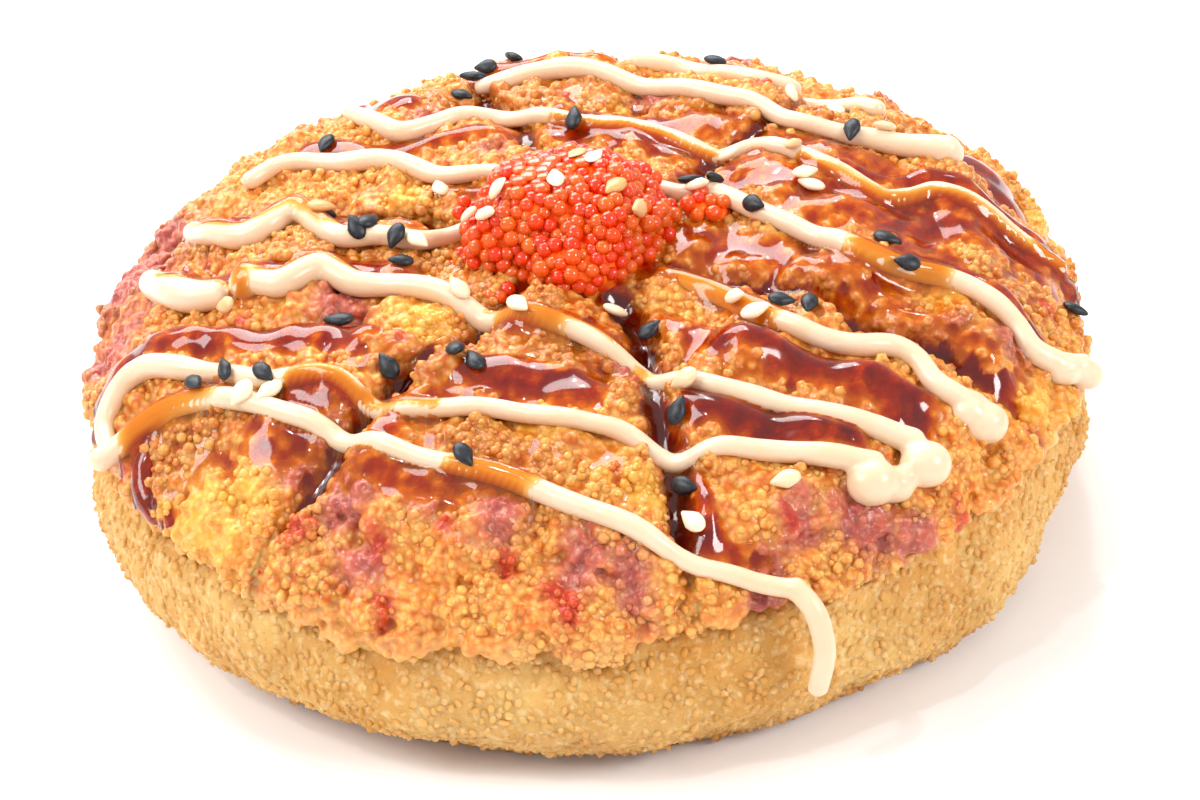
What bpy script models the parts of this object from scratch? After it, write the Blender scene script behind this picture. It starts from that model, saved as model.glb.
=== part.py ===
"""Tuna sushi pizza.

A thick fried rice cake carries a low dome of chopped tuna in fried crumbs, scored into
six slices. Mayonnaise is piped across it from side to side, sesame seeds are scattered
over it, and a heap of small roe sits where the cuts meet.

Metres, +Z up. The origin is under the middle of the rice cake, on its flat underside.
"""
import math
import random

import bmesh
import bpy
from mathutils import Euler, Vector, noise

MM = 0.001
STEPS = 64                        # facets round the cake and its topping

# Rice cake
BASE_HEIGHT = 22.0 * MM
BASE_RADIUS = 58.8 * MM           # at its widest, a little above half height
SHOULDER_RADIUS = 50.0 * MM       # where its flat top starts to round off
FOOT_RADIUS = 50.0 * MM           # its flat underside
SIDE_ROUGHNESS = 1.0 * MM
TOP_GAP = 0.5 * MM                # air between the cake and its topping

# Topping of crumbed tuna
TOPPING_TOP = 36.5 * MM
TOPPING_EDGE = 23.0 * MM          # height at which the dome runs out to its rim
TOPPING_RADIUS = 57.0 * MM
DOME_POWER = 4.6                  # a flat middle and a quick fall at the rim
LUMP_WIDTH = 11.0 * MM
LUMP_HEIGHT = 2.1 * MM
RIM_CRAG_WIDTH = 6.0 * MM         # knobs along the rim
RIM_CRAG = 1.5 * MM

# Knife cuts, which meet under the heap of roe: direction in degrees, width and depth
CUT_CENTRE = (2.5 * MM, -7.0 * MM)
CUT_FLOOR = BASE_HEIGHT + 2.2 * MM   # no cut goes deeper than this
CUT_START = 8.2 * MM
CUTS = (
    (-82.0, 4.6 * MM, 8.0 * MM),
    (-27.0, 4.4 * MM, 7.0 * MM),
    (50.0, 3.4 * MM, 6.0 * MM),
    (107.0, 3.4 * MM, 6.0 * MM),
    (157.0, 3.4 * MM, 5.0 * MM),
    (-137.0, 4.4 * MM, 7.5 * MM),
)

# Piped mayonnaise: where each line turns, in mm from the middle
MAYO_WIDTH = 3.5 * MM
MAYO_STEP = 7.0 * MM
MAYO_LINES = (
    ((9, 38), (18, 35), (27, 31)),
    ((-10, 33), (-3, 36), (5, 33), (16, 25), (27, 16), (37, 14), (46, 16)),
    ((-27, 32), (-21, 22), (-13, 25), (-4, 21), (4, 19), (13, 14), (19, 11), (27, 9),
     (36, 0), (43, 4), (50, 0), (54, -2)),
    ((-38, 19), (-34, 22), (-27, 17), (-16, 11)),
    ((14, 1), (22, -6), (31, -12), (40, -14), (47, -17), (53, -20)),
    ((-45, 12), (-42, 5), (-34, 6), (-27, -1), (-20, -4), (-16, -3)),
    ((12, -16), (19, -23), (28, -28), (36, -29), (43, -34)),
    ((-49, 3), (-45, -6), (-37, -7), (-30, -8), (-22, -12), (-13, -18), (0, -26),
     (12, -33), (23, -37), (34, -38)),
    ((-54, -20), (-53, -14), (-45, -16), (-36, -24), (-27, -28), (-18, -33), (-6, -37),
     (8, -42), (20, -42), (31, -41)),
    ((-54, -21), (-48, -21), (-38, -25), (-28, -33), (-18, -40), (-4, -46), (8, -53),
     (20, -54)),
)
HANGING_END = ((20, -54, 25.0), (21.6, -57.8, 22.0), (22.0, -58.2, 17.0), (21.0, -58.2, 12.5))
MAYO_BLOBS = ((43, -34, 3.0), (35, -38, 3.2), (30, -40, 3.0), (53, -20, 2.5), (46, 16, 2.6))

# Heap of roe
HEAP_CENTRE = (-1.2 * MM, -4.8 * MM)
HEAP_WIDTH = 25.0 * MM
HEAP_DEPTH = 23.5 * MM
HEAP_HEIGHT = 8.6 * MM
ROE_DIAMETER = 1.8 * MM
ROE_COUNT = 118
HEAP_GAP = 0.35 * MM

# Crumbs and sesame
CHUNK_COUNT = 22
CHUNK_RADIUS = (3.0 * MM, 4.4 * MM)
CRUMB_COUNT = 52
CRUMB_RADIUS = (1.2 * MM, 1.9 * MM)
SEED_SIZE = (3.2 * MM, 1.9 * MM, 1.1 * MM)
SEEDS = (
    (-13, 30), (-11, 35), (1, 17), (-29, 22), (-29, 7), (-24, 3), (-19, -8), (15, 4),
    (20, -2), (35, -8), (33, 13), (36, -18), (22, -23), (7, -29), (9, -50), (-14, -41),
    (-12, -29), (-27, -19), (-40, -21), (-35, -24), (-21, -30), (-31, 6), (-18, -12),
    (25, 8), (27, 4), (27, -1), (18, 8), (10, -36), (18, -25), (-39, -11), (3, -22), (37, 18),
)


def clear_scene():
    for item in list(bpy.data.objects):
        bpy.data.objects.remove(item, do_unlink=True)


def new_collection(name):
    group = bpy.data.collections.new(name)
    bpy.context.scene.collection.children.link(group)
    return group


def new_material(name, colour, roughness):
    material = bpy.data.materials.new(name)
    material.use_nodes = True
    surface = material.node_tree.nodes["Principled BSDF"]
    surface.inputs["Base Color"].default_value = (*colour, 1.0)
    surface.inputs["Roughness"].default_value = roughness
    surface.inputs["Metallic"].default_value = 0.0
    material.diffuse_color = (*colour, 1.0)
    return material


def mesh_of(item):
    """The mesh an object shows, with its own place worked in and its seams welded."""
    bpy.context.view_layer.update()
    graph = bpy.context.evaluated_depsgraph_get()
    mesh = bpy.data.meshes.new_from_object(item.evaluated_get(graph))
    mesh.transform(item.matrix_world)
    shape = bmesh.new()
    shape.from_mesh(mesh)
    bmesh.ops.remove_doubles(shape, verts=shape.verts, dist=0.00001)
    bmesh.ops.recalc_face_normals(shape, faces=shape.faces)
    bmesh.ops.triangulate(shape, faces=shape.faces)
    shape.to_mesh(mesh)
    shape.free()
    return mesh


def made_solid(item, group):
    """Replace an object with a plain mesh of what it shows."""
    mesh = mesh_of(item)
    name = item.name
    bpy.data.objects.remove(item, do_unlink=True)
    solid = bpy.data.objects.new(name, mesh)
    group.objects.link(solid)
    return solid


def turned(name, profile, group):
    """A profile of (radius, height), top to bottom, turned about Z."""
    mesh = bpy.data.meshes.new(name)
    points = [(radius, 0.0, height) for radius, height in profile]
    mesh.from_pydata(points, [(i, i + 1) for i in range(len(points) - 1)], [])
    item = bpy.data.objects.new(name, mesh)
    group.objects.link(item)
    screw = item.modifiers.new("Turn", "SCREW")
    screw.axis = "Z"
    screw.steps = STEPS
    screw.render_steps = STEPS
    screw.use_merge_vertices = True
    screw.merge_threshold = 0.00005
    return made_solid(item, group)


def blend(low, high, value):
    share = min(1.0, max(0.0, (value - low) / (high - low)))
    return share * share * (3.0 - 2.0 * share)


def base_top(radius):
    """Height of the rice cake's top and its rounded shoulder."""
    profile = base_shoulder()
    for (r0, z0), (r1, z1) in zip(profile, profile[1:]):
        if radius <= r1:
            return z0 + (z1 - z0) * (radius - r0) / (r1 - r0)
    return profile[-1][1]


def base_shoulder():
    span = BASE_RADIUS - SHOULDER_RADIUS
    return (
        (0.0, BASE_HEIGHT),
        (SHOULDER_RADIUS, BASE_HEIGHT),
        (SHOULDER_RADIUS + 0.45 * span, BASE_HEIGHT - 1.2 * MM),
        (SHOULDER_RADIUS + 0.80 * span, BASE_HEIGHT - 3.7 * MM),
        (BASE_RADIUS, BASE_HEIGHT - 8.0 * MM),
    )


def rim_radius(angle):
    """The topping's rim is drawn in a little at the back left and wanders all round."""
    back = max(0.0, math.cos(angle - math.radians(110))) ** 2
    wander = noise.noise(Vector((2.2 * math.cos(angle), 2.2 * math.sin(angle), 4.0)))
    return TOPPING_RADIUS - 1.7 * MM * back + 0.9 * MM * wander


def lumps(x, y):
    place = Vector((x, y, 0.0)) / LUMP_WIDTH
    broad = noise.noise(place + Vector((3.1, 7.7, 0.5)))
    small = noise.noise(2.3 * place + Vector((9.4, 1.2, 2.5)))
    return LUMP_HEIGHT * broad + 0.5 * LUMP_HEIGHT * small


def topping_height(x, y):
    """The topping's surface before it is cut."""
    share = min(1.0, math.hypot(x, y) / rim_radius(math.atan2(y, x)))
    rise = (TOPPING_TOP - TOPPING_EDGE) * (1.0 - share ** DOME_POWER)
    return TOPPING_EDGE + rise + lumps(x, y) * (1.0 - 0.7 * share ** 6)


def heap_share(x, y):
    """1 at the edge of the heap's footprint, less inside it."""
    across = (x - HEAP_CENTRE[0]) / (HEAP_WIDTH / 2)
    along = (y - HEAP_CENTRE[1]) / (HEAP_DEPTH / 2)
    return math.hypot(across, along)


def cut_distance(x, y):
    """Distance to the nearest knife cut, and that cut's width."""
    nearest = (1.0, 0.0)
    dx = x - CUT_CENTRE[0]
    dy = y - CUT_CENTRE[1]
    for degrees, width, _ in CUTS:
        angle = math.radians(degrees)
        along = dx * math.cos(angle) + dy * math.sin(angle)
        across = abs(dy * math.cos(angle) - dx * math.sin(angle) - cut_wander(degrees, along))
        if along > 0.0 and across < nearest[0]:
            nearest = (across, width)
    return nearest


def cut_wander(degrees, along):
    return 1.6 * MM * noise.noise(Vector((along / (13.0 * MM), degrees, 0.3)))


def smooth_path(points, step):
    """A Catmull-Rom path through the points, in metres, with a point about every step."""
    knots = [Vector(p) * MM for p in points]
    knots = [2 * knots[0] - knots[1]] + knots + [2 * knots[-1] - knots[-2]]
    path = []
    for i in range(1, len(knots) - 2):
        a, b, c, d = knots[i - 1:i + 3]
        count = max(1, round((c - b).length / step))
        for k in range(count):
            t = k / count
            path.append(0.5 * (2 * b + (c - a) * t + (2 * a - 5 * b + 4 * c - d) * t ** 2
                               + (3 * b - 3 * c + d - a) * t ** 3))
    path.append(knots[-2])
    return path


def tube(name, path, radii, group, sides=1):
    """A filled curve through the path, with its own radius at each point."""
    curve = bpy.data.curves.new(name, "CURVE")
    curve.dimensions = "3D"
    curve.twist_mode = "MINIMUM"
    curve.bevel_depth = 1.0
    curve.bevel_resolution = sides
    curve.use_fill_caps = True
    spline = curve.splines.new("POLY")
    spline.points.add(len(path) - 1)
    for point, place, radius in zip(spline.points, path, radii):
        point.co = (*place, 1.0)
        point.radius = radius
    item = bpy.data.objects.new(name, curve)
    group.objects.link(item)
    return item


def grain(name, place, size, turn, group):
    """A crumb, seed or egg: a ball of twenty faces, stretched and turned."""
    shape = bmesh.new()
    bmesh.ops.create_icosphere(shape, subdivisions=1, radius=0.5)
    bmesh.ops.scale(shape, vec=size, verts=shape.verts)
    bmesh.ops.rotate(shape, cent=(0, 0, 0), matrix=turn.to_matrix(), verts=shape.verts)
    bmesh.ops.translate(shape, vec=place, verts=shape.verts)
    mesh = bpy.data.meshes.new(name)
    shape.to_mesh(mesh)
    shape.free()
    item = bpy.data.objects.new(name, mesh)
    group.objects.link(item)
    return item


def boolean(item, other, operation):
    """Join or cut with an object, or with all the objects of a collection."""
    modifier = item.modifiers.new(operation.title(), "BOOLEAN")
    modifier.operation = operation
    modifier.solver = "EXACT"
    if isinstance(other, bpy.types.Collection):
        modifier.operand_type = "COLLECTION"
        modifier.collection = other
    else:
        modifier.object = other
    bpy.context.view_layer.update()
    graph = bpy.context.evaluated_depsgraph_get()
    mesh = bpy.data.meshes.new_from_object(item.evaluated_get(graph))
    item.modifiers.clear()
    item.data = mesh


def empty_collection(group):
    for item in list(group.objects):
        bpy.data.objects.remove(item, do_unlink=True)


def keep_largest(item):
    """Drop loose scraps and fill sealed hollows: only the largest shell stays."""
    shape = bmesh.new()
    shape.from_mesh(item.data)
    bmesh.ops.triangulate(shape, faces=shape.faces)
    waiting = set(shape.verts)
    shells = []
    while waiting:
        start = waiting.pop()
        shell = {start}
        front = [start]
        while front:
            vert = front.pop()
            for edge in vert.link_edges:
                other = edge.other_vert(vert)
                if other in waiting:
                    waiting.remove(other)
                    shell.add(other)
                    front.append(other)
        shells.append(shell)
    shells.sort(key=len)
    for shell in shells[:-1]:
        bmesh.ops.delete(shape, geom=list(shell), context="VERTS")
    bmesh.ops.recalc_face_normals(shape, faces=shape.faces)
    shape.to_mesh(item.data)
    shape.free()


def finish(item, material):
    item.data.materials.clear()
    item.data.materials.append(material)
    item.data.shade_smooth()
    item.data.set_sharp_from_angle(angle=math.radians(35))


def make_base(group):
    """The rice cake: a turned profile whose side bulges and wanders."""
    profile = base_shoulder() + (
        (BASE_RADIUS, 9.0 * MM),
        (BASE_RADIUS - 2.5 * MM, 5.0 * MM),
        (BASE_RADIUS - 5.6 * MM, 1.6 * MM),
        (FOOT_RADIUS, 0.0),
        (0.0, 0.0),
    )
    item = turned("rice_base", profile, group)
    for vert in item.data.vertices:
        x, y, z = vert.co
        radius = math.hypot(x, y)
        if radius < SHOULDER_RADIUS or z > BASE_HEIGHT - 4.5 * MM:
            continue
        angle = math.atan2(y, x)
        rough = noise.noise(Vector((x, y, z)) / (9.0 * MM))
        front_left = max(0.0, math.cos(angle - math.radians(215))) ** 8
        front_right = max(0.0, math.cos(angle - math.radians(-40))) ** 60
        right = max(0.0, math.cos(angle - math.radians(-20))) ** 12
        low = 1.0 - blend(4.0 * MM, 9.0 * MM, z)
        grown = radius + SIDE_ROUGHNESS * rough - 1.2 * MM * right
        grown += 1.0 * MM * front_left * blend(0.0, 8.0 * MM, z)
        grown += 2.6 * MM * front_right * low
        vert.co.x = x * grown / radius
        vert.co.y = y * grown / radius
    return item


def make_topping_core(name, group):
    """The uncut dome, whose underside follows the cake's shoulder."""
    rings = [share * TOPPING_RADIUS for share in
             (0.0, 0.14, 0.27, 0.38, 0.48, 0.57, 0.65, 0.73, 0.80, 0.865, 0.92, 0.965)]
    profile = [(radius, TOPPING_TOP) for radius in rings]
    rim = TOPPING_RADIUS
    kink = base_shoulder()[2][0]
    profile += [(rim, TOPPING_EDGE + 0.6 * MM), (rim + 0.8 * MM, 20.8 * MM)]
    profile += [(rim, 19.0 * MM), (kink, 18.0 * MM), (SHOULDER_RADIUS, 17.0 * MM), (0.0, 16.0 * MM)]
    item = turned(name, profile, group)
    for vert in item.data.vertices:
        x, y, z = vert.co
        radius = math.hypot(x, y)
        angle = math.atan2(y, x)
        if z > TOPPING_TOP - 0.1 * MM:
            drawn_in = rim_radius(angle) / TOPPING_RADIUS
            grown = 1.0 + (drawn_in - 1.0) * blend(0.5 * rim, rim, radius)
            x, y = x * grown, y * grown
            vert.co = (x, y, topping_height(x, y))
        elif z < 18.5 * MM:
            vert.co.z = base_top(radius) + TOP_GAP
        else:
            # The rim sags over the shoulder, more at the front left than at the front right
            crag = noise.noise(Vector((x, y, z)) / RIM_CRAG_WIDTH)
            grown = rim_radius(angle) / TOPPING_RADIUS + RIM_CRAG * crag / TOPPING_RADIUS
            sag = 1.2 * MM * max(0.0, math.cos(angle - math.radians(230))) ** 2
            sag += RIM_CRAG * noise.noise(Vector((x, y, 0.0)) / RIM_CRAG_WIDTH + Vector((2, 8, 4)))
            sag -= 1.4 * MM * max(0.0, math.cos(angle - math.radians(-65))) ** 4
            lip = 1.0 - blend(19.0 * MM, 24.0 * MM, z)
            lowest = base_top(radius * grown) + TOP_GAP
            vert.co = (x * grown, y * grown, max(z - sag * lip, lowest))
    return item


def make_knife_cuts(group):
    """Six slim wedges, a little wavy, that narrow towards the rim."""
    solids = []
    for number, (degrees, width, depth) in enumerate(CUTS):
        angle = math.radians(degrees)
        path = []
        radii = []
        count = 9
        for i in range(count + 1):
            along = CUT_START + (TOPPING_RADIUS + 9.0 * MM - CUT_START) * i / count
            x = CUT_CENTRE[0] + along * math.cos(angle)
            y = CUT_CENTRE[1] + along * math.sin(angle)
            out = blend(0.75, 1.0, math.hypot(x, y) / TOPPING_RADIUS)
            here = depth * blend(-0.4, 0.12, i / count) * (1.0 - 0.45 * out)
            radius = here + 2.0 * MM
            height = topping_height(x, y) + 2.0 * MM
            height = max(height, CUT_FLOOR + radius)
            path.append(Vector((along, cut_wander(degrees, along), height)))
            radii.append(radius)
        slim = (width / 2) / depth
        for place in path:
            place.y /= slim
        item = tube(f"knife_cut_{number}", path, radii, group, sides=0)
        item.scale = (1.0, slim, 1.0)
        item.rotation_euler = (0.0, 0.0, angle)
        item.location = (CUT_CENTRE[0], CUT_CENTRE[1], 0.0)
        item.hide_render = True
        solid = made_solid(item, group)
        solid.hide_render = True
        solid.display_type = "WIRE"
        solids.append(solid)
    return solids


def add_mayonnaise(group):
    radius = MAYO_WIDTH / 2
    for number, points in enumerate(MAYO_LINES):
        path = []
        for x, y in (p[:] for p in smooth_path([(px, py) for px, py in points], MAYO_STEP)):
            across, width = cut_distance(x, y)
            sink = 1.2 * MM * (1.0 - blend(0.0, 4.0 * MM, across))
            path.append(Vector((x, y, topping_height(x, y) + 0.35 * radius - sink)))
        radii = [radius * (1.0 + 0.12 * noise.noise(place / (6.0 * MM))) for place in path]
        radii[0] *= 1.15
        radii[-1] *= 1.15
        made_solid(tube(f"mayonnaise_{number}", path, radii, group), group)
    path = smooth_path(HANGING_END, MAYO_STEP)
    made_solid(tube("mayonnaise_end", path, [radius * 0.9] * len(path), group), group)
    for number, (x, y, wide) in enumerate(MAYO_BLOBS):
        place = Vector((x * MM, y * MM, topping_height(x * MM, y * MM) + 0.4 * MM))
        size = (2 * wide * MM, 2 * wide * MM, 1.6 * wide * MM)
        grain(f"mayonnaise_blob_{number}", place, size, Euler((0.3, 0.2, number)), group)


def surface_normal(x, y):
    reach = 1.5 * MM
    slope_x = topping_height(x + reach, y) - topping_height(x - reach, y)
    slope_y = topping_height(x, y + reach) - topping_height(x, y - reach)
    return Vector((-slope_x, -slope_y, 2 * reach)).normalized()


def laid_on_topping(x, y, lift):
    return Vector((x, y, topping_height(x, y))) + lift * surface_normal(x, y)


def spiral(count, start):
    """Evenly spread places over the topping, out to its rim."""
    for i in range(count):
        share = math.sqrt((i + 0.5) / count)
        angle = start + i * math.pi * (3.0 - math.sqrt(5.0))
        radius = share * (rim_radius(angle) - 1.5 * MM)
        yield radius * math.cos(angle), radius * math.sin(angle)


def add_crumbs(group):
    rng = random.Random(7)
    for count, sizes, start, name in (
        (CHUNK_COUNT, CHUNK_RADIUS, 0.4, "chunk"),
        (CRUMB_COUNT, CRUMB_RADIUS, 2.1, "crumb"),
    ):
        for number, (x, y) in enumerate(spiral(count, start)):
            x += rng.uniform(-1.5, 1.5) * MM
            y += rng.uniform(-1.5, 1.5) * MM
            radius = rng.uniform(*sizes)
            flat = 0.55 if name == "chunk" else 0.85
            size = (2 * radius, 2 * radius * rng.uniform(0.7, 1.0), 2 * radius * flat)
            turn = surface_normal(x, y).to_track_quat("Z", "Y").to_euler()
            turn.rotate_axis("Z", rng.uniform(0.0, math.tau))
            across, width = cut_distance(x, y)
            reach = HEAP_WIDTH / 2 + radius + HEAP_GAP
            if heap_share(x, y) < reach / (HEAP_DEPTH / 2) or across < width / 2 + 0.6 * radius:
                continue
            if math.hypot(x, y) > rim_radius(math.atan2(y, x)) - 0.6 * radius:
                continue
            lift = 0.15 * radius * (0.2 if name == "chunk" else 1.0)
            grain(f"{name}_{number}", laid_on_topping(x, y, lift), size, turn, group)


def add_seeds(group):
    rng = random.Random(11)
    for number, (x, y) in enumerate(SEEDS):
        x, y = x * MM, y * MM
        turn = surface_normal(x, y).to_track_quat("Z", "Y").to_euler()
        turn.rotate_axis("Z", rng.uniform(0.0, math.tau))
        turn.rotate_axis("Y", rng.uniform(-0.3, 0.3))
        lift = 1.3 * MM if near_mayonnaise(x, y) else 0.5 * MM
        grain(f"seed_{number}", laid_on_topping(x, y, lift), SEED_SIZE, turn, group)


def near_mayonnaise(x, y):
    here = Vector((x, y, 0.0))
    for points in MAYO_LINES:
        for place in smooth_path([(px, py, 0) for px, py in points], 2.0 * MM):
            if (place - here).length < MAYO_WIDTH / 2:
                return True
    return False


def make_heap(group, pieces, topping_core):
    """A mound of roe: a core with beads fused on, its underside cut to fit the topping."""
    x0, y0 = HEAP_CENTRE
    seat = topping_height(x0, y0) - 1.2 * MM
    shape = bmesh.new()
    bmesh.ops.create_icosphere(shape, subdivisions=2, radius=1.0)
    half = Vector((HEAP_WIDTH / 2 - 0.9 * MM, HEAP_DEPTH / 2 - 0.9 * MM, HEAP_HEIGHT + 0.3 * MM))
    for vert in shape.verts:
        rough = 1.0 + 0.10 * noise.noise(vert.co * 1.7 + Vector((5.0, 1.0, 2.0)))
        vert.co = Vector([c * h * rough for c, h in zip(vert.co, half)])
        vert.co += Vector((x0, y0, seat))
    mesh = bpy.data.meshes.new("tobiko_heap")
    shape.to_mesh(mesh)
    shape.free()
    heap = bpy.data.objects.new("tobiko_heap", mesh)
    group.objects.link(heap)
    rng = random.Random(3)
    for i in range(ROE_COUNT):
        rise = (i + 0.5) / ROE_COUNT * 0.93 + 0.06
        angle = i * math.pi * (3.0 - math.sqrt(5.0))
        level = math.sqrt(1.0 - rise * rise)
        way = Vector((level * math.cos(angle), level * math.sin(angle), rise))
        rough = 1.0 + 0.10 * noise.noise(way * 1.7 + Vector((5.0, 1.0, 2.0)))
        place = Vector([c * h * rough for c, h in zip(way, half)])
        place += Vector((x0, y0, seat)) + 0.2 * ROE_DIAMETER * way
        size = ROE_DIAMETER * rng.uniform(0.92, 1.08)
        turn = Euler([rng.uniform(0.0, 3.0) for _ in range(3)])
        grain(f"roe_{i}", place, (size, size, size), turn, pieces)
    boolean(heap, pieces, "UNION")
    empty_collection(pieces)
    seat_cutter = topping_core.copy()
    seat_cutter.data = topping_core.data.copy()
    seat_cutter.location.z += HEAP_GAP
    pieces.objects.link(seat_cutter)
    boolean(heap, seat_cutter, "DIFFERENCE")
    empty_collection(pieces)
    keep_largest(heap)
    return heap


def main():
    clear_scene()
    parts = new_collection("tuna_sushi_pizza")
    cutters = new_collection("cutters")
    pieces = new_collection("pieces_to_fuse")
    base = make_base(parts)
    topping = make_topping_core("tuna_topping", parts)
    heap = make_heap(parts, pieces, topping)
    for cut in make_knife_cuts(cutters):
        boolean(topping, cut, "DIFFERENCE")
    add_mayonnaise(pieces)
    add_crumbs(pieces)
    add_seeds(pieces)
    boolean(topping, pieces, "UNION")
    empty_collection(pieces)
    bpy.data.collections.remove(pieces)
    keep_largest(topping)
    finish(base, new_material("fried_rice", (0.80, 0.56, 0.27), 0.6))
    finish(topping, new_material("crumbed_tuna", (0.72, 0.30, 0.12), 0.5))
    finish(heap, new_material("roe", (0.85, 0.10, 0.02), 0.3))


main()
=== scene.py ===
import math

import bmesh
import bpy
import numpy as np
from mathutils import Matrix, Vector, noise
from mathutils.bvhtree import BVHTree


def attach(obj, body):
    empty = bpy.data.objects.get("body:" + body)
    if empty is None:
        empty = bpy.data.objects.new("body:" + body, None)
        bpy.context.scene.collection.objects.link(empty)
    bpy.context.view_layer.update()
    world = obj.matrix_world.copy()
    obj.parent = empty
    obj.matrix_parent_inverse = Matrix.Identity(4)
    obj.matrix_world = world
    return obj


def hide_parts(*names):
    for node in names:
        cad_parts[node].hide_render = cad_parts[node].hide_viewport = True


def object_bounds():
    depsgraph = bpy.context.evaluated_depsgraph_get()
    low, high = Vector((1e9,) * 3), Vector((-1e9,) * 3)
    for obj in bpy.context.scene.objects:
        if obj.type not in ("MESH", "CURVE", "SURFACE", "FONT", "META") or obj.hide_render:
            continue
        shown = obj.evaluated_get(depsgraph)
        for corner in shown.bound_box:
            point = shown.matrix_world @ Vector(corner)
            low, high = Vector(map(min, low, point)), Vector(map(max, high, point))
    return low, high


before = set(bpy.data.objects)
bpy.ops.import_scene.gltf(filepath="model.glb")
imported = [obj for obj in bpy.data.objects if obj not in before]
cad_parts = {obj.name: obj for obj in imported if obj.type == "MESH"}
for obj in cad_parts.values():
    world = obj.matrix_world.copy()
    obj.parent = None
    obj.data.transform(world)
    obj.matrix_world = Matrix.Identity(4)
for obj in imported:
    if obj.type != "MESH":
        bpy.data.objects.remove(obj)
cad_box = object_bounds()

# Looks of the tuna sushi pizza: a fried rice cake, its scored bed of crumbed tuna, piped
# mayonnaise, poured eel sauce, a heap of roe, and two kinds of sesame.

MM = 0.001

# ---- the same driving sizes as the solids, in mm and degrees ---------------------------

BASE_HEIGHT = 22.0
BASE_RADIUS = 58.8
SHOULDER_RADIUS = 50.0
FOOT_RADIUS = 50.0

TOPPING_TOP = 36.5
TOPPING_EDGE = 23.0
TOPPING_RADIUS = 57.0
DOME_POWER = 4.6
LUMP_WIDTH = 11.0
LUMP_HEIGHT = 2.1
# the side where the topping's rim is flatter, and by how much
FLAT_SIDE = 110.0
FLATTENED = 1.7
# how far a knife cut strays from straight, and over what length
CUT_WANDER = 1.6
CUT_WANDER_LENGTH = 13.0
# no part of the topping's upper side lies lower than this
LOWEST_BED = 15.0

CUT_CENTRE = (2.5, -7.0)
CUT_START = 7.0
# direction, width and depth of each
CUTS = (
    (-82.0, 5.0, 8.0),
    (-27.0, 4.4, 7.0),
    (50.0, 3.4, 6.0),
    (107.0, 3.4, 6.0),
    (157.0, 3.4, 5.0),
    (-137.0, 4.4, 7.5),
)

HEAP_CENTRE = (-1.2, -4.8)
HEAP_WIDTH = 25.0
HEAP_DEPTH = 23.5
HEAP_HEIGHT = 8.6

# ---- what lies on it, placed by the photograph -----------------------------------------

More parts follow.
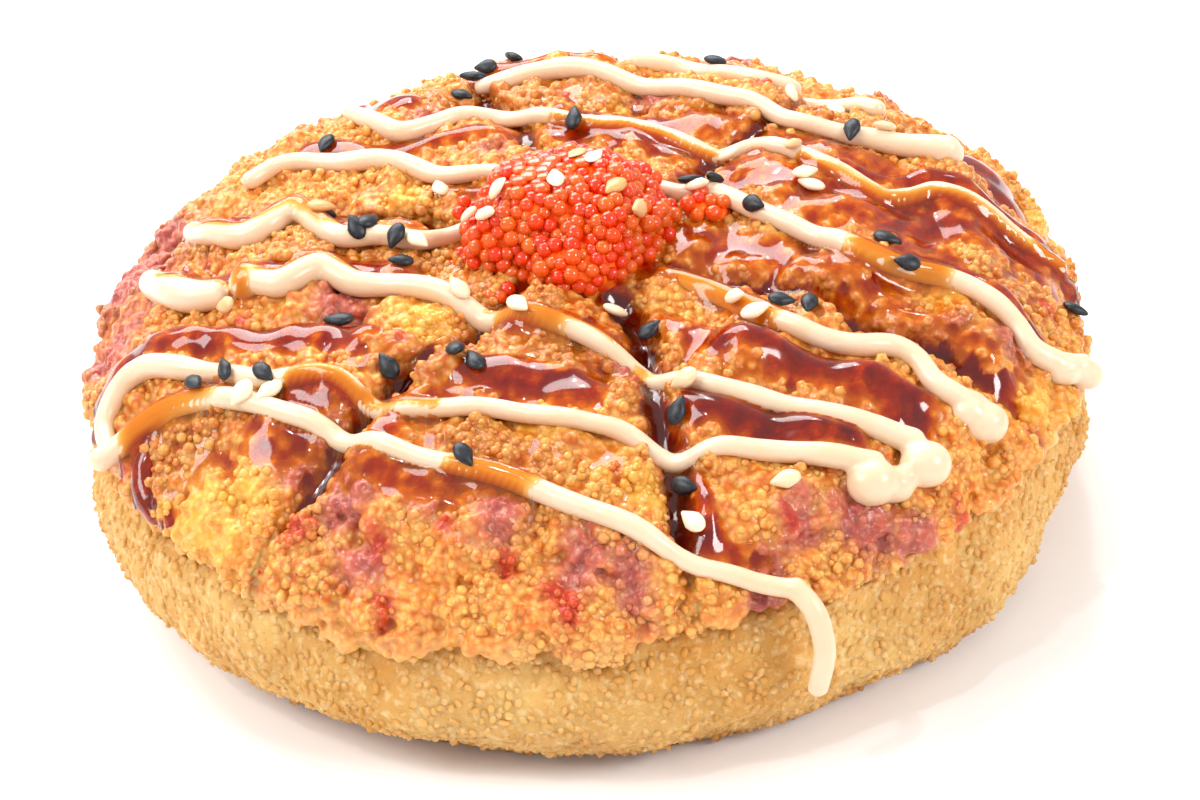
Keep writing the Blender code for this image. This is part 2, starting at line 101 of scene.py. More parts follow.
# x, y and half width of each turn of the piped mayonnaise
MAYO_LINES = (
    ((9, 37, 1.1), (14, 36, 1.2), (19, 32.5, 1.1), (23, 29.5, 1.1), (27, 28.5, 1.1)),
    ((29, 27, 1.0), (33, 25.5, 1.1), (37, 22.5, 1.2)),
    ((-10.5, 35, 1.1), (-6.5, 34, 1.3), (-0.5, 33, 1.4), (4, 31, 1.3), (9, 28, 1.2),
     (16, 23.5, 1.2), (22, 20, 1.2), (26, 16.5, 1.1), (31, 14.5, 1.1), (37.5, 13, 1.4), (44, 11.5, 1.7)),
    ((-26.5, 29, 1.1), (-23.5, 25, 1.3), (-20.5, 22, 1.3), (-16.5, 23.5, 1.2), (-13, 25, 1.2),
     (-9, 24.5, 1.1), (-5, 22.5, 1.1), (1.5, 19.5, 1.1), (7.5, 17.5, 1.1), (13.5, 13.5, 1.1),
     (17, 11.5, 1.1), (19.5, 12, 1.1), (22.5, 10, 1.1), (27, 7, 1.1), (30.5, 4, 1.1), (35, 0, 1.1),
     (38, 1, 1.1), (41, 3, 1.1), (44, 2, 1.1), (48.5, 0.5, 1.1), (53.5, -1.5, 0.9), (55.5, -2, 0.8)),
    ((-38.5, 17.5, 1.1), (-36, 19, 1.1), (-33, 19, 1.2), (-28.5, 17.5, 1.3), (-23.5, 15.5, 1.3),
     (-19, 11.5, 1.2), (-14.5, 8.5, 1.1), (-9, 7, 1.0)),
    ((8.5, 4.5, 0.9), (12, 2, 1.1), (15.5, 1, 1.2), (18.5, -1.5, 1.2), (21.5, -5, 1.2),
     (25.5, -8, 1.2), (28.5, -10.5, 1.3), (31, -13, 1.3), (35, -14, 1.2), (40, -14, 1.2),
     (44.5, -16, 1.2), (47.5, -18.5, 1.2), (49, -21, 1.4), (51.5, -21.5, 1.5), (54.5, -21, 1.7)),
    ((-45.5, 12.5, 1.4), (-43, 7, 1.4), (-39, 2.5, 1.6), (-36, 2.5, 1.6), (-33.5, 4.5, 1.5),
     (-32, 5.5, 1.5), (-29.5, 0.5, 1.4), (-27, -2.5, 1.4), (-23, -3, 1.2), (-18.5, -4.5, 1.2),
     (-15, -3, 1.1), (-11.5, -1, 1.1)),
    ((9, -12.5, 0.9), (14.5, -17, 1.2), (18, -21, 1.3), (21.5, -24.5, 1.3), (25, -26.5, 1.3),
     (29, -27, 1.3), (33, -26.5, 1.3), (35.5, -28, 1.3), (37, -31, 1.3), (39.5, -32.5, 1.3),
     (41.5, -32.5, 1.4), (42, -34.5, 1.7)),
    ((-49.5, 1.5, 1.7), (-47, -3.5, 1.8), (-44, -6.5, 1.9), (-41, -7.5, 1.7)),
    ((-37.5, -8, 1.6), (-35, -10, 1.6), (-33, -10.5, 1.7), (-29, -8.5, 1.7), (-25.5, -11, 1.5),
     (-22, -12, 1.4), (-16, -14.5, 1.4), (-12, -17.5, 1.4), (-5.5, -22.5, 1.3), (0, -25, 1.2),
     (5, -28, 1.2), (8.5, -31, 1.1), (13, -34, 1.1), (18.5, -35.5, 1.2), (23, -37, 1.2),
     (29, -38.5, 1.3), (33.5, -39.5, 1.5)),
    ((-54, -21, 1.2), (-54.5, -17.5, 1.2), (-53, -15, 1.4), (-50, -14.5, 1.4), (-45, -17.5, 1.4),
     (-41.5, -20, 1.2), (-36, -24.5, 1.1), (-31.5, -26, 1.2), (-26, -28.5, 1.2), (-20.5, -32.5, 1.1),
     (-15, -34, 1.1), (-9, -35.5, 1.1), (-3.5, -37.5, 1.1), (3, -39, 1.1), (9, -41.5, 1.1),
     (15, -42, 1.1), (22, -42.5, 1.3), (29, -43, 1.4)),
    ((-54.5, -23.5, 1.4), (-51.5, -22.5, 1.4), (-46.5, -22.5, 1.4), (-42, -24, 1.3), (-36.5, -27.5, 1.2),
     (-33, -30, 1.2), (-28.5, -32.5, 1.2), (-25, -35.5, 1.1), (-20.5, -39, 1.1), (-14.5, -42, 1.1),
     (-8, -45, 1.2), (-2, -48.5, 1.2), (4, -51.5, 1.2), (9, -53.5, 1.1), (15, -54.5, 1.1),
     (19.5, -55.5, 1.1)),
)
# x, y and radius of the thick drops at the ends
MAYO_DROPS = (
    (28.7, -44.5, 2.5), (31.0, -43.8, 2.0), (34.6, -41.8, 2.5), (42.0, -33.8, 2.3), (40.3, -33.6, 1.6),
    (52.5, -21.5, 1.9), (55.2, -21.0, 1.7), (44, 11.5, 1.8), (-46.5, -3.0, 1.8), (-37.5, -8.5, 1.8),
    (27, 28.5, 1.3),
)
# x, y and z of the end that hangs over the side
HANGING_END = ((19.5, -55.5, 25.0), (21.3, -57.4, 22.5), (22.0, -58.5, 18.0), (21.2, -58.6, 13.2))

# half width and thickness of each run of eel sauce, and x, y of its turns
SAUCE_RUNS = (
    # back
    (1.4, 0.7, ((12, 38.5), (16.5, 37.5), (21, 34.5), (26, 31))),
    (2.3, 1.3, ((-27.5, 42), (-25, 38), (-22.5, 34), (-20, 31))),
    (1.5, 0.8, ((-12, 40), (-6, 39), (0, 38.5), (5, 37))),
    (1.2, 0.6, ((-1, 23), (6, 21.5), (13, 18.5), (17.5, 16.5))),
    (1.8, 0.8, ((-31.5, 23.5), (-28, 22), (-23, 19.5), (-17.5, 19.5), (-12, 20.5), (-7.5, 20), (-3, 18.5),
                (1.5, 17))),
    (1.8, 0.9, ((-1, 18), (3, 17), (6, 16), (10.5, 13), (14.5, 10.5), (17.5, 9.5), (21, 9))),
    (2.6, 0.6, ((14.5, 18.5), (20, 15.5), (24.5, 12.5), (29, 11.5), (32.5, 10), (36, 9))),
    (2.6, 1.5, ((43, 14.5), (46, 15), (48, 14.5), (50, 12.5), (51, 10))),
    # right
    (1.8, 0.8, ((27, 5.5), (30, 3), (33, 0.5), (35.5, -1.5), (38.5, -0.5), (41, 1.5), (44, 0.5),
                (48.5, -1), (53, -3), (56, -2.5))),
    (2.6, 0.9, ((32.5, -4), (36.5, -4), (42.5, -2.5), (47, -4), (50.5, -4.5), (52, -5.5))),
    (1.7, 1.1, ((31, 6.5), (35.5, 5.5), (41, 6.5), (44.5, 5.5), (47.5, 4.5), (50.5, 3), (53, 1), (54.5, -0.5))),
    (3.0, 0.6, ((17, 8.5), (21.5, 4.5), (24.5, 2), (27.5, -1.5), (30.5, -4.5), (34, -5.5), (36.5, -6.5),
                (39.5, -8))),
    (2.1, 0.8, ((31, -13), (34, -13.5), (37, -13), (40, -12.5))),
    (1.5, 1.1, ((36, -11.5), (40.5, -11), (44, -13), (47, -15.5), (49, -17.5), (50.5, -19))),
    (4.0, 0.6, ((13.5, -7), (20, -11), (23.5, -12.5), (26.5, -14.5), (29.5, -16.5), (32, -18))),
    (1.9, 1.1, ((33, -21.5), (36.5, -22.5), (39.5, -23.5), (42, -24.5), (43.5, -25.5), (44.5, -27))),
    (2.4, 0.9, ((8, -12), (12, -14), (15.5, -16.5), (18.5, -20), (20.5, -23))),
    (2.8, 0.6, ((4.5, -19), (8, -22), (12, -25), (15, -28), (18.5, -30), (21.5, -30.5))),
    (2.5, 1.5, ((15, -27.5), (20, -29.5), (24, -30.5), (28, -31.5), (32, -32.5), (34.5, -33.5), (33, -35.5))),
    (2.5, 1.6, ((9.5, -36), (13.5, -37.5), (18, -38.5), (22.5, -39.5), (27, -40.5))),
    # left
    (3.1, 0.9, ((-45.5, 13), (-42.5, 10), (-39, 6.8), (-36, 6.5), (-33, 8), (-30, 5), (-27, 1))),
    (1.8, 0.8, ((-29, 7), (-25, 4.5), (-21, 2), (-18, 0))),
    (1.5, 0.6, ((-16, 6), (-13, 5), (-10, 4.5))),
    (2.2, 0.8, ((-47.5, -0.5), (-44, -3.5), (-41, -5.5), (-38.5, -7), (-35.5, -7.5), (-33, -8), (-29.5, -6),
                (-26.5, -7.5), (-23, -8.5), (-20, -10))),
    (2.0, 1.1, ((-55, -14), (-53.5, -10.5), (-50, -10.5), (-47, -12), (-43, -14), (-38, -16.5), (-34.5, -18),
                (-31.5, -18.5), (-27.5, -19), (-24.5, -21))),
    (1.9, 0.8, ((-50, -23.5), (-47.5, -22.3), (-44, -22.3), (-41, -23))),
    (2.6, 0.9, ((-31, -28), (-28, -30), (-25, -32), (-22, -35))),
    (1.3, 0.7, ((-22.5, -30.5), (-20, -31.5), (-17, -32), (-12.5, -33), (-9, -33.5))),
    (1.9, 0.8, ((-9, -22.5), (-6.5, -22.5), (-3.5, -23), (0, -23), (3, -24.5), (5, -26))),
    (2.7, 1.2, ((-12, -29.5), (-9, -30.5), (-6, -31.5), (-3, -32.5), (-1, -32.5))),
    (2.7, 0.7, ((-36, -31), (-32.5, -33.5), (-28.5, -35.5), (-25, -38.5), (-20.5, -41.5), (-15, -44))),
    (1.7, 0.8, ((-16, -43.5), (-13, -43.5), (-10, -44.5), (-7.5, -45.5))),
    (1.2, 0.8, ((10.5, -51.5), (14, -52), (16, -52))),
    # in the knife cuts
    (2.1, 1.7, ((3.5, -15), (4.5, -20), (5.5, -27), (6.5, -34), (8, -40), (9.5, -46), (10.5, -51))),
    (1.5, 1.2, ((11, -11), (20, -15.5), (30, -20.5))),
    (1.3, 0.9, ((-7, -16), (-14, -22), (-22, -30))),
    (1.3, 0.8, ((6, -1), (13, 7), (20, 14))),
    # thin film that leaves the crumbs' tops bare
    (5.0, 0.10, ((16, 17), (26, 10), (36, 4), (46, 5))),
    (5.0, 0.05, ((20, 1), (30, -3), (40, -8), (48, -10))),
    (5.0, 0.05, ((12, -5), (22, -15), (34, -21), (42, -22))),
    (5.0, -0.10, ((-8, -21), (0, -27), (8, -31), (18, -33), (28, -35))),
    (4.5, -0.10, ((-44, 10), (-34, 2), (-24, -6), (-14, -12))),
    (4.5, -0.05, ((30, 22), (38, 18), (46, 12), (52, 2))),
    (4.5, -0.10, ((-16, 30), (-4, 28), (8, 26), (18, 18))),
    (4.0, -0.05, ((-46, -28), (-36, -30), (-26, -36), (-14, -40), (0, -44))),
    (3.0, 0.05, ((-25, -22), (-20, -25), (-16, -28))),
)
# half width of the amber films that cross the mayonnaise, and x, y of their turns
SAUCE_FILMS = (
    (1.5, ((-44.5, 11.5), (-42.5, 8), (-39, 4), (-36, 3.8), (-33.5, 5.8), (-31, 4.5), (-28.5, 0))),
    (1.5, ((-48.5, 3.5), (-46, -1.2), (-43, -4.5), (-40, -6), (-38, -7))),
    (1.3, ((-38.7, -6), (-38.2, -8), (-38, -10.5))),
    (0.8, ((-36, -8.8), (-33, -8.9), (-29, -7), (-26, -9), (-23, -10))),
    (2.0, ((-41.5, -23.8), (-45, -23), (-48, -22.8), (-50.5, -23))),
    (1.0, ((-32, -27), (-28, -28.3), (-24.5, -30.5))),
    (0.9, ((-24, -30.2), (-20.5, -32), (-16.5, -33.8))),
    (2.0, ((-14, -42.5), (-10.5, -44), (-7.5, -45.2))),
    (2.0, ((-8, -20.8), (-6, -22.3), (-3.5, -23.6))),
    (0.9, ((-3.5, -23), (0, -24), (3, -25.8))),
    (2.2, ((9, -12.5), (12, -15), (15, -17.6), (17.5, -20.5), (19.5, -22.8))),
    (0.8, ((-2, 20), (1.2, 18.4), (7.2, 16.3), (12.8, 12.4), (16.3, 10.5))),
    (0.8, ((26.4, 6.1), (29.8, 3.1), (34.5, -1), (38.2, -0.2), (41, 1.8), (43.7, 0.8), (48, -0.7), (53, -2.7))),
    (1.3, ((53.3, -1.8), (56, -2.5))),
    (2.0, ((31.5, -13), (34, -13.8), (37, -14), (39.5, -14))),
)
# x, y and radius of the eggs that have rolled off the heap
LOOSE_EGGS = (
    (13.8, -1.4, 1.6), (16.2, -1.9, 1.3), (-13.4, -7.5, 1.0), (11.2, -12.0, 1.3), (-12.6, 1.5, 1.2),
    (-9.5, -14.5, 1.2),
)
# x, y, z and half width of a drop that has run over the rim
SAUCE_DRIPS = (
    ((-48.4, -24.0, 26.2, 1.4), (-49.2, -25.6, 24.3, 1.8), (-49.2, -27.6, 22.9, 2.0), (-48.7, -29.6, 22.1, 1.8),
     (-48.3, -31.0, 21.6, 1.2)),
)

BLACK_SEEDS = (
    (-6.5, 42), (-10, 39.5), (-11.5, 36), (-13, 33), (0.5, 18.5), (-29.5, 22.5), (-29, 6.5), (-23.5, -2),
    (-25, -3), (-20.5, -5.5), (-20, -8.5), (13.5, 1.5), (16, 2), (20, -4.5), (34.5, -10), (33, 13),
    (36, -15.5), (21.5, -22.5), (24.5, -22), (7, -23), (9, -37.5), (9, -45), (-13.5, -42.5),
    (-12, -29), (-27, -17), (-39.5, -23), (-35, -25.5), (-43, -23), (-21.5, -26.5), (-14, -27.5),
    (56, -9), (18.5, 34.5),
)
WHITE_SEEDS = (
    (-15.5, 5), (-29, 1.5), (-12, -6), (-10, -9), (-18, -6), (25.5, 7.5), (26.5, 2), (27, 0.5),
    (14, 0.5), (18, 9.5), (10, -34), (19.5, -46), (16.5, -21), (3.5, -19), (18.5, -24),
    (-34.5, -27.5), (-37.5, -27.5), (-40, -11), (-7, -22.5), (-13.5, -16), (9.5, -50), (37, 14),
    (32, 23.5), (27, 25.5), (2.5, -2.5), (-2, -6.5), (0.5, -1.5), (4.5, -8), (-8.5, -6.5), (7, -10.5),
)

# x, y and radius of where bare tuna shows, where crumbs are palest gold, and of red bits
TUNA_PATCHES = (
    (-53, 9, 8), (-55, -3, 6), (-50, 18, 6), (-27, -14, 4.5), (-10, 15.5, 3.5), (-31, -34, 5),
    (-26, -41, 4), (-17, -44, 4), (-10, -47.5, 4.5), (-2, -52, 4), (3, -54, 3.5), (28, -47, 4.5),
    (33, -48, 3.5), (16, -53.5, 3), (47, -22, 3), (21, -49, 3), (5, -29, 2.5), (40, -22, 3),
    (-25, -48, 3), (-17, 26, 3.5), (20, 44, 5), (-8, 46, 5), (-34, 38, 5), (40, 36, 6),
    (10, 26, 3), (-28, -32, 3),
)
GOLD_PATCHES = (
    (-39, -37, 7), (-44, -35, 6), (1, -44.5, 4.5), (5, -46, 3.5), (31, -48.5, 3), (49, -28, 6),
    (40, -17, 4), (-32, 1, 3.5), (6, 23, 4), (-1, 35, 4), (-18, -19, 5), (-28, -33, 3),
    (46, -20, 5), (36, 24, 5), (43, -7, 4), (-5, -37, 4), (-25, -18, 4), (-20, 6, 4),
    (10, -34, 3), (-48, -40, 6), (54, 10, 6),
)
RED_BITS = (
    (-23, -52, 1.6), (-10, -52.5, 1.6), (-5, -55, 1.8), (2, -44, 1.0), (38, -44, 1.4),
    (48, -31, 1.5), (-23, -47, 2.0), (-32, -43, 1.5), (-16, -48, 1.8), (40, -20.5, 1.2),
    (38, -21.5, 1.1), (20, -49, 1.4), (-20, -23, 1.4), (-38, -13.5, 1.4), (-4, -57, 2.0),
    (30, -44, 1.0), (-52, -24, 1.8), (52, -12, 1.4), (24, 27, 1.5), (0, 28, 1.6),
)


# ---- small helpers ---------------------------------------------------------------------

def ink(code):
    """An sRGB hex colour as Blender's linear one."""
    parts = [int(code[i:i + 2], 16) / 255 for i in (1, 3, 5)]
    return tuple(c / 12.92 if c <= 0.04045 else ((c + 0.055) / 1.055) ** 2.4 for c in parts) + (1.0,)


def add(tree, kind, links=None, **settings):
    """Add a node, with its settings, and a value or a link for each of its inputs."""
    made = tree.nodes.new(kind)
    for name, value in settings.items():
        setattr(made, name, value)
    for socket, value in (links or {}).items():
        if isinstance(value, bpy.types.NodeSocket):
            tree.links.new(value, made.inputs[socket])
        else:
            made.inputs[socket].default_value = value
    return made


def blend(low, high, value):
    """A smooth step from 0 at low to 1 at high."""
    share = np.clip((value - low) / (high - low), 0.0, 1.0)
    return share * share * (3.0 - 2.0 * share)


def soft_noise(points):
    """Blender's own noise, the same as in the solids."""
    return np.array([noise.noise(p) for p in np.atleast_2d(points).tolist()])


def lattice(cell, seed):
    """A repeatable number from 0 to 1 for each whole-number cell."""
    x, y, z = (cell[:, i].astype(np.int64) for i in range(3))
    mixed = (x * 374761393 + y * 668265263 + z * 1442695041 + seed * 1274126177) & 0xFFFFFFFF
    mixed = ((mixed ^ (mixed >> 13)) * 1274126177) & 0xFFFFFFFF
    mixed = (mixed ^ (mixed >> 16)) & 0xFFFFFF
    return mixed / 0xFFFFFF


def waves(points, size, seed):
    """Smooth noise from -1 to 1, its swells about size across."""
    place = points / size
    cell = np.floor(place)
    part = place - cell
    part = part * part * (3.0 - 2.0 * part)
    total = np.zeros(len(points))
    for corner in np.ndindex(2, 2, 2):
        weight = np.prod(np.where(np.array(corner) == 1, part, 1.0 - part), axis=1)
        total += weight * lattice(cell + corner, seed)
    return 2.0 * total - 1.0


def pebbles(points, size, seed):
    """Distances to the nearest and second nearest of scattered centres, and a number for each."""
    place = points / size
    cell = np.floor(place)
    near = np.full(len(points), 9.0)
    second = near.copy()
    chosen = np.zeros(len(points))
    for corner in np.ndindex(3, 3, 3):
        here = cell + corner - 1.0
        centre = here + np.stack([lattice(here, seed + k) for k in range(3)], axis=1)
        away = np.linalg.norm(place - centre, axis=1)
        closer = away < near
        second = np.where(closer, near, np.minimum(second, away))
        chosen = np.where(closer, lattice(here, seed + 5), chosen)
        near = np.where(closer, away, near)
    return near, second, chosen


def bulge(near, reach):
    """A round top, 1 at a centre and 0 from reach outwards."""
    return np.sqrt(np.clip(1.0 - (near / reach) ** 2, 0.0, 1.0))


def on_plan(x, y, z=0.0):
    """Points in plan, at one height."""
    return np.stack([x, y, np.zeros_like(x) + z], axis=1)


def spots(points, places, soft=0.5):
    """1 at each place and 0 beyond its ragged edge."""
    ragged = 1.2 * waves(points, 3.6, 51) + 0.6 * waves(points, 1.6, 52)
    shown = np.zeros(len(points))
    for x, y, radius in places:
        away = np.hypot(points[:, 0] - x, points[:, 1] - y) + ragged * min(1.0, radius / 3.0)
        shown = np.maximum(shown, 1.0 - blend(1.0 - soft, 1.2, away / radius))
    return shown


def smooth_path(points, step):
    """A Catmull-Rom path through points of any length, about step apart."""
    knots = [np.array(p, float) for p in points]
    knots = [2 * knots[0] - knots[1]] + knots + [2 * knots[-1] - knots[-2]]
    path = []
    for i in range(1, len(knots) - 2):
        a, b, c, d = knots[i - 1:i + 3]
        count = max(1, round(float(np.linalg.norm((c - b)[:3])) / step))
        for k in range(count):
            t = k / count
            path.append(0.5 * (2 * b + (c - a) * t + (2 * a - 5 * b + 4 * c - d) * t ** 2
                               + (3 * b - 3 * c + d - a) * t ** 3))
    path.append(knots[-2])
    return np.array(path)


def line_distance(x, y, path):
    """Distance to a path, and the length along it of the nearest point."""
    best = np.full_like(x, 1e9)
    along = np.zeros_like(x)
    walked = 0.0
    for a, b in zip(path[:-1, :2], path[1:, :2]):
        way = b - a
        length = float(np.linalg.norm(way)) or 1e-9
        t = np.clip(((x - a[0]) * way[0] + (y - a[1]) * way[1]) / length ** 2, 0.0, 1.0)
        away = np.hypot(x - a[0] - t * way[0], y - a[1] - t * way[1])
        closer = away < best
        best = np.where(closer, away, best)
        along = np.where(closer, walked + t * length, along)
        walked += length
    return best, along


def show(name, mesh):
    """An object for some data, in the scene."""
    item = bpy.data.objects.new(name, mesh)
    bpy.context.scene.collection.objects.link(item)
    return item


def paint(item, values):
    """Give each point of a mesh its number under each name, for trees and finishes to read."""
    for label, numbers in values.items():
        item.data.attributes.new(label, "FLOAT", "POINT")
        item.data.attributes[label].data.foreach_set("value", np.asarray(numbers, np.float32))


def mesh_piece(name, points, faces, values=None):
    """A smooth mesh object from points in mm, painted with values."""
    mesh = bpy.data.meshes.new(name)
    mesh.from_pydata((np.asarray(points) * MM).tolist(), [], faces)
    mesh.shade_smooth()
    mesh.update()
    item = show(name, mesh)
    paint(item, values or {})
    return item


def built(name, shape):
    """A smooth mesh object from a bmesh."""
    mesh = bpy.data.meshes.new(name)
    shape.to_mesh(mesh)
    shape.free()
    mesh.shade_smooth()
    return show(name, mesh)


def points_of(mesh):
    """A mesh's points, in mm."""
    places = np.zeros(len(mesh.vertices) * 3, np.float32)
    mesh.vertices.foreach_get("co", places)
    return places.reshape(-1, 3).astype(float) / MM


def gathered(items):
    """The points, in mm, and faces of several pieces together."""
    points = []
    faces = []
    start = 0
    for item in items:
        mesh = item.data
        points.append(points_of(mesh))
        faces.extend([[start + v for v in face.vertices] for face in mesh.polygons])
        start += len(mesh.vertices)
    return np.concatenate(points), faces


def removed(items):
    """Take objects that have done their work out of the scene."""
    for item in items:
        bpy.data.objects.remove(item, do_unlink=True)


def plain_mesh(item, finish=None):
    """What an object shows, as a plain mesh with no modifiers left on it."""
    bpy.context.view_layer.update()
    graph = bpy.context.evaluated_depsgraph_get()
    mesh = bpy.data.meshes.new_from_object(item.evaluated_get(graph))
    name = item.name
    removed([item])
    mesh.name = name
    if finish:
        mesh.materials.clear()
        mesh.materials.append(finish)
    return show(name, mesh)


def node_modifier(item, tree, **inputs):
    """Put a tree on an object, with its inputs set by their identifiers."""
    modifier = item.modifiers.new(tree.name, "NODES")
    modifier.node_group = tree
    known = {s.name: s.identifier for s in tree.interface.items_tree if s.in_out == "INPUT"}
    for label, value in inputs.items():
        modifier[known[label.replace("_", " ")]] = value


def new_tree(name, inputs, output):
    """A Geometry Nodes tree with named inputs, and the sockets that give them."""
    tree = bpy.data.node_groups.new(name, "GeometryNodeTree")
    for label, kind in inputs:
        tree.interface.new_socket(label, in_out="INPUT", socket_type="NodeSocket" + kind)
    tree.interface.new_socket(output, in_out="OUTPUT", socket_type="NodeSocketGeometry")
    return tree, add(tree, "NodeGroupInput").outputs


def made_real(tree, instances, seed):
    """Instances as a mesh, each with a random number of its own for its finish to read."""
    # Random Value keeps its float sockets at places 2 and 3, and its float output at 1
    mark = add(tree, "FunctionNodeRandomValue", {2: 0.0, 3: 1.0, "Seed": seed}, data_type="FLOAT")
    marked = add(tree, "GeometryNodeStoreNamedAttribute", {
        "Geometry": instances, "Name": "shade", "Value": mark.outputs[1],
    }, data_type="FLOAT", domain="INSTANCE")
    return add(tree, "GeometryNodeRealizeInstances", {"Geometry": marked.outputs["Geometry"]}).outputs["Geometry"]


def finished(tree, geometry, given):
    """Close a tree: give its geometry the finish, and put it out."""
    done = add(tree, "GeometryNodeSetMaterial", {"Geometry": geometry, "Material": given["Finish"]})
    add(tree, "NodeGroupOutput", {0: done.outputs["Geometry"]})
    return tree


def run_together(item, finish, voxel, factor, rounds):
    """One skin round all that an object holds, its finest detail voxel mm across, softened."""
    remesh = item.modifiers.new("Run together", "REMESH")
    remesh.mode = "VOXEL"
    remesh.voxel_size = voxel * MM
    soften = item.modifiers.new("Soften", "SMOOTH")
    soften.factor = factor
    soften.iterations = rounds
    made = plain_mesh(item, finish)
    made.data.shade_smooth()
    return made


# ---- the topping's form ----------------------------------------------------------------

def rim_radius(angle):
    """The topping's radius each way, rounder at the front than at the back."""
    back = np.maximum(0.0, np.cos(angle - math.radians(FLAT_SIDE))) ** 2
    circle = on_plan(2.2 * np.cos(angle), 2.2 * np.sin(angle), 4.0)
    return TOPPING_RADIUS - FLATTENED * back + 0.9 * soft_noise(circle)


def topping_height(x, y, rim):
    """The low dome with its broad lumps, before any cut."""
    share = np.minimum(1.0, np.hypot(x, y) / rim)
    place = on_plan(x, y) / LUMP_WIDTH
    lumps = LUMP_HEIGHT * soft_noise(place + (3.1, 7.7, 0.5))
    lumps += 0.5 * LUMP_HEIGHT * soft_noise(2.3 * place + (9.4, 1.2, 2.5))
    rise = (TOPPING_TOP - TOPPING_EDGE) * (1.0 - share ** DOME_POWER)
    return TOPPING_EDGE + rise + lumps * (1.0 - 0.7 * share ** 6)


def cut_depth(x, y):
    """How far the knife cuts sink the surface, with crumbly, uneven lips."""
    deepest = np.zeros_like(x)
    dx = x - CUT_CENTRE[0]
    dy = y - CUT_CENTRE[1]
    ragged = waves(on_plan(x, y), 2.6, 31)
    for degrees, width, depth in CUTS:
        angle = math.radians(degrees)
        along = dx * math.cos(angle) + dy * math.sin(angle)
        across = dy * math.cos(angle) - dx * math.sin(angle)
        wander = soft_noise(on_plan(along / CUT_WANDER_LENGTH, np.full_like(along, degrees), 0.3))
        across = np.abs(across - CUT_WANDER * wander) + 0.45 * ragged
        out = blend(0.75, 1.0, np.hypot(x, y) / TOPPING_RADIUS)
        begin = blend(CUT_START - 2.0, CUT_START + 4.0, along)
        half = 0.5 * width * (1.0 - 0.35 * out)
        share = np.clip(1.0 - across / half, 0.0, 1.0)
        deepest = np.maximum(deepest, depth * (1.0 - 0.7 * out) * begin * share ** 0.9)
    return deepest


def soaked_share(points):
    """How deeply the poured sauce has stained the crumbs, and how surely it covers them."""
    x, y = points[:, 0], points[:, 1]
    stained = np.zeros(len(points))
    covered = np.zeros(len(points))
    for half, thick, turns in SAUCE_RUNS:
        away, _ = line_distance(x, y, smooth_path(turns, 3.0))
        stained = np.maximum(stained, 1.0 - blend(0.6 * half, 1.5 * half, away))
        if thick > 0.5:
            covered = np.maximum(covered, 1.0 - blend(0.8 * half, 1.2 * half, away))
    loose = 0.5 + 0.5 * waves(points, 7.0, 61)
    return np.clip(stained * (0.5 + 0.5 * loose), 0.0, 1.0), covered


def bed_relief(points):
    """Chunks of tuna and clusters of crumb, in mm."""
    tuna = spots(points, TUNA_PATCHES, 0.7)
    bent = points + 0.9 * np.stack([waves(points, 3.0, 71 + k) for k in range(3)], axis=1)
    chunk, chunk_next, chunk_mark = pebbles(bent, 8.5, 3)
    cluster, cluster_next, cluster_mark = pebbles(bent, 3.9, 13)
    crease = np.exp(-((chunk_next - chunk) / 0.11) ** 2)
    gap = np.exp(-((cluster_next - cluster) / 0.14) ** 2)
    relief = 1.9 * (0.45 - chunk ** 2) * (0.4 + chunk_mark) - 0.9 * crease
    relief += (bulge(cluster, 0.9) * (0.45 + 0.75 * cluster_mark) - 0.75) * (1.0 - 0.6 * tuna)
    relief -= 0.30 * gap * (1.0 - 0.7 * tuna)
    return relief - 0.25 + 0.3 * waves(points, 1.8, 83)


def bed_values(points, soft_height):
    """What the finish needs to know at each point of the bed, from where it is."""
    x, y, z = points.T
    rim_side = 1.0 - blend(16.5, 19.5, z)
    inland = 1.0 - blend(49.0, 55.0, np.hypot(x, y))
    sunk = (read_map(soft_height, x, y) - z) * inland
    soaked, covered = soaked_share(points)
    cut = cut_depth(x, y)
    values = {
        "tuna": spots(points, TUNA_PATCHES, 0.7),
        # painted shade: darker where the crumbs sink below the softened surface and down the knife cuts
        "hollow": np.clip(0.7 * blend(0.5, 2.6, sunk) + blend(1.0, 4.5, cut), 0.0, 1.0) * (1.0 - rim_side),
        # paler batter low on the rim wall, running into the rice colour; it is also painted light that lifts the
        # shaded crease where the rim meets the cake
        "pale": 1.0 - blend(18.0, 22.5, z + 1.5 * waves(points, 5.0, 94)),
        "soaked": soaked,
        "tone": np.clip(0.5 + 0.5 * waves(points, 10.0, 91) + 0.2 * waves(points, 3.0, 92), 0.0, 1.0),
        "gold": np.clip(spots(points, GOLD_PATCHES, 0.8) + 0.25 * waves(points, 6.0, 93), 0.0, 1.0),
        "red": spots(points, RED_BITS, 0.8),
    }
    # loose crumbs keep off the bare tuna, the cuts, the poured sauce and the underside, and leave gaps
    values["crumb_density"] = (1.0 - 0.9 * values["tuna"]) * (1.0 - 0.75 * blend(2.0, 5.0, cut))
    values["crumb_density"] *= blend(16.0, 18.0, z) * (1.0 - covered) * blend(-0.35, 0.35, waves(points, 4.0, 95))
    return values


def grid_normals(points, count):
    """Outward directions over a square grid of points."""
    grid = points.reshape(count, count, 3)
    normal = np.cross(np.gradient(grid, axis=1), np.gradient(grid, axis=0)).reshape(-1, 3)
    return normal / np.maximum(np.linalg.norm(normal, axis=1), 1e-9)[:, None]


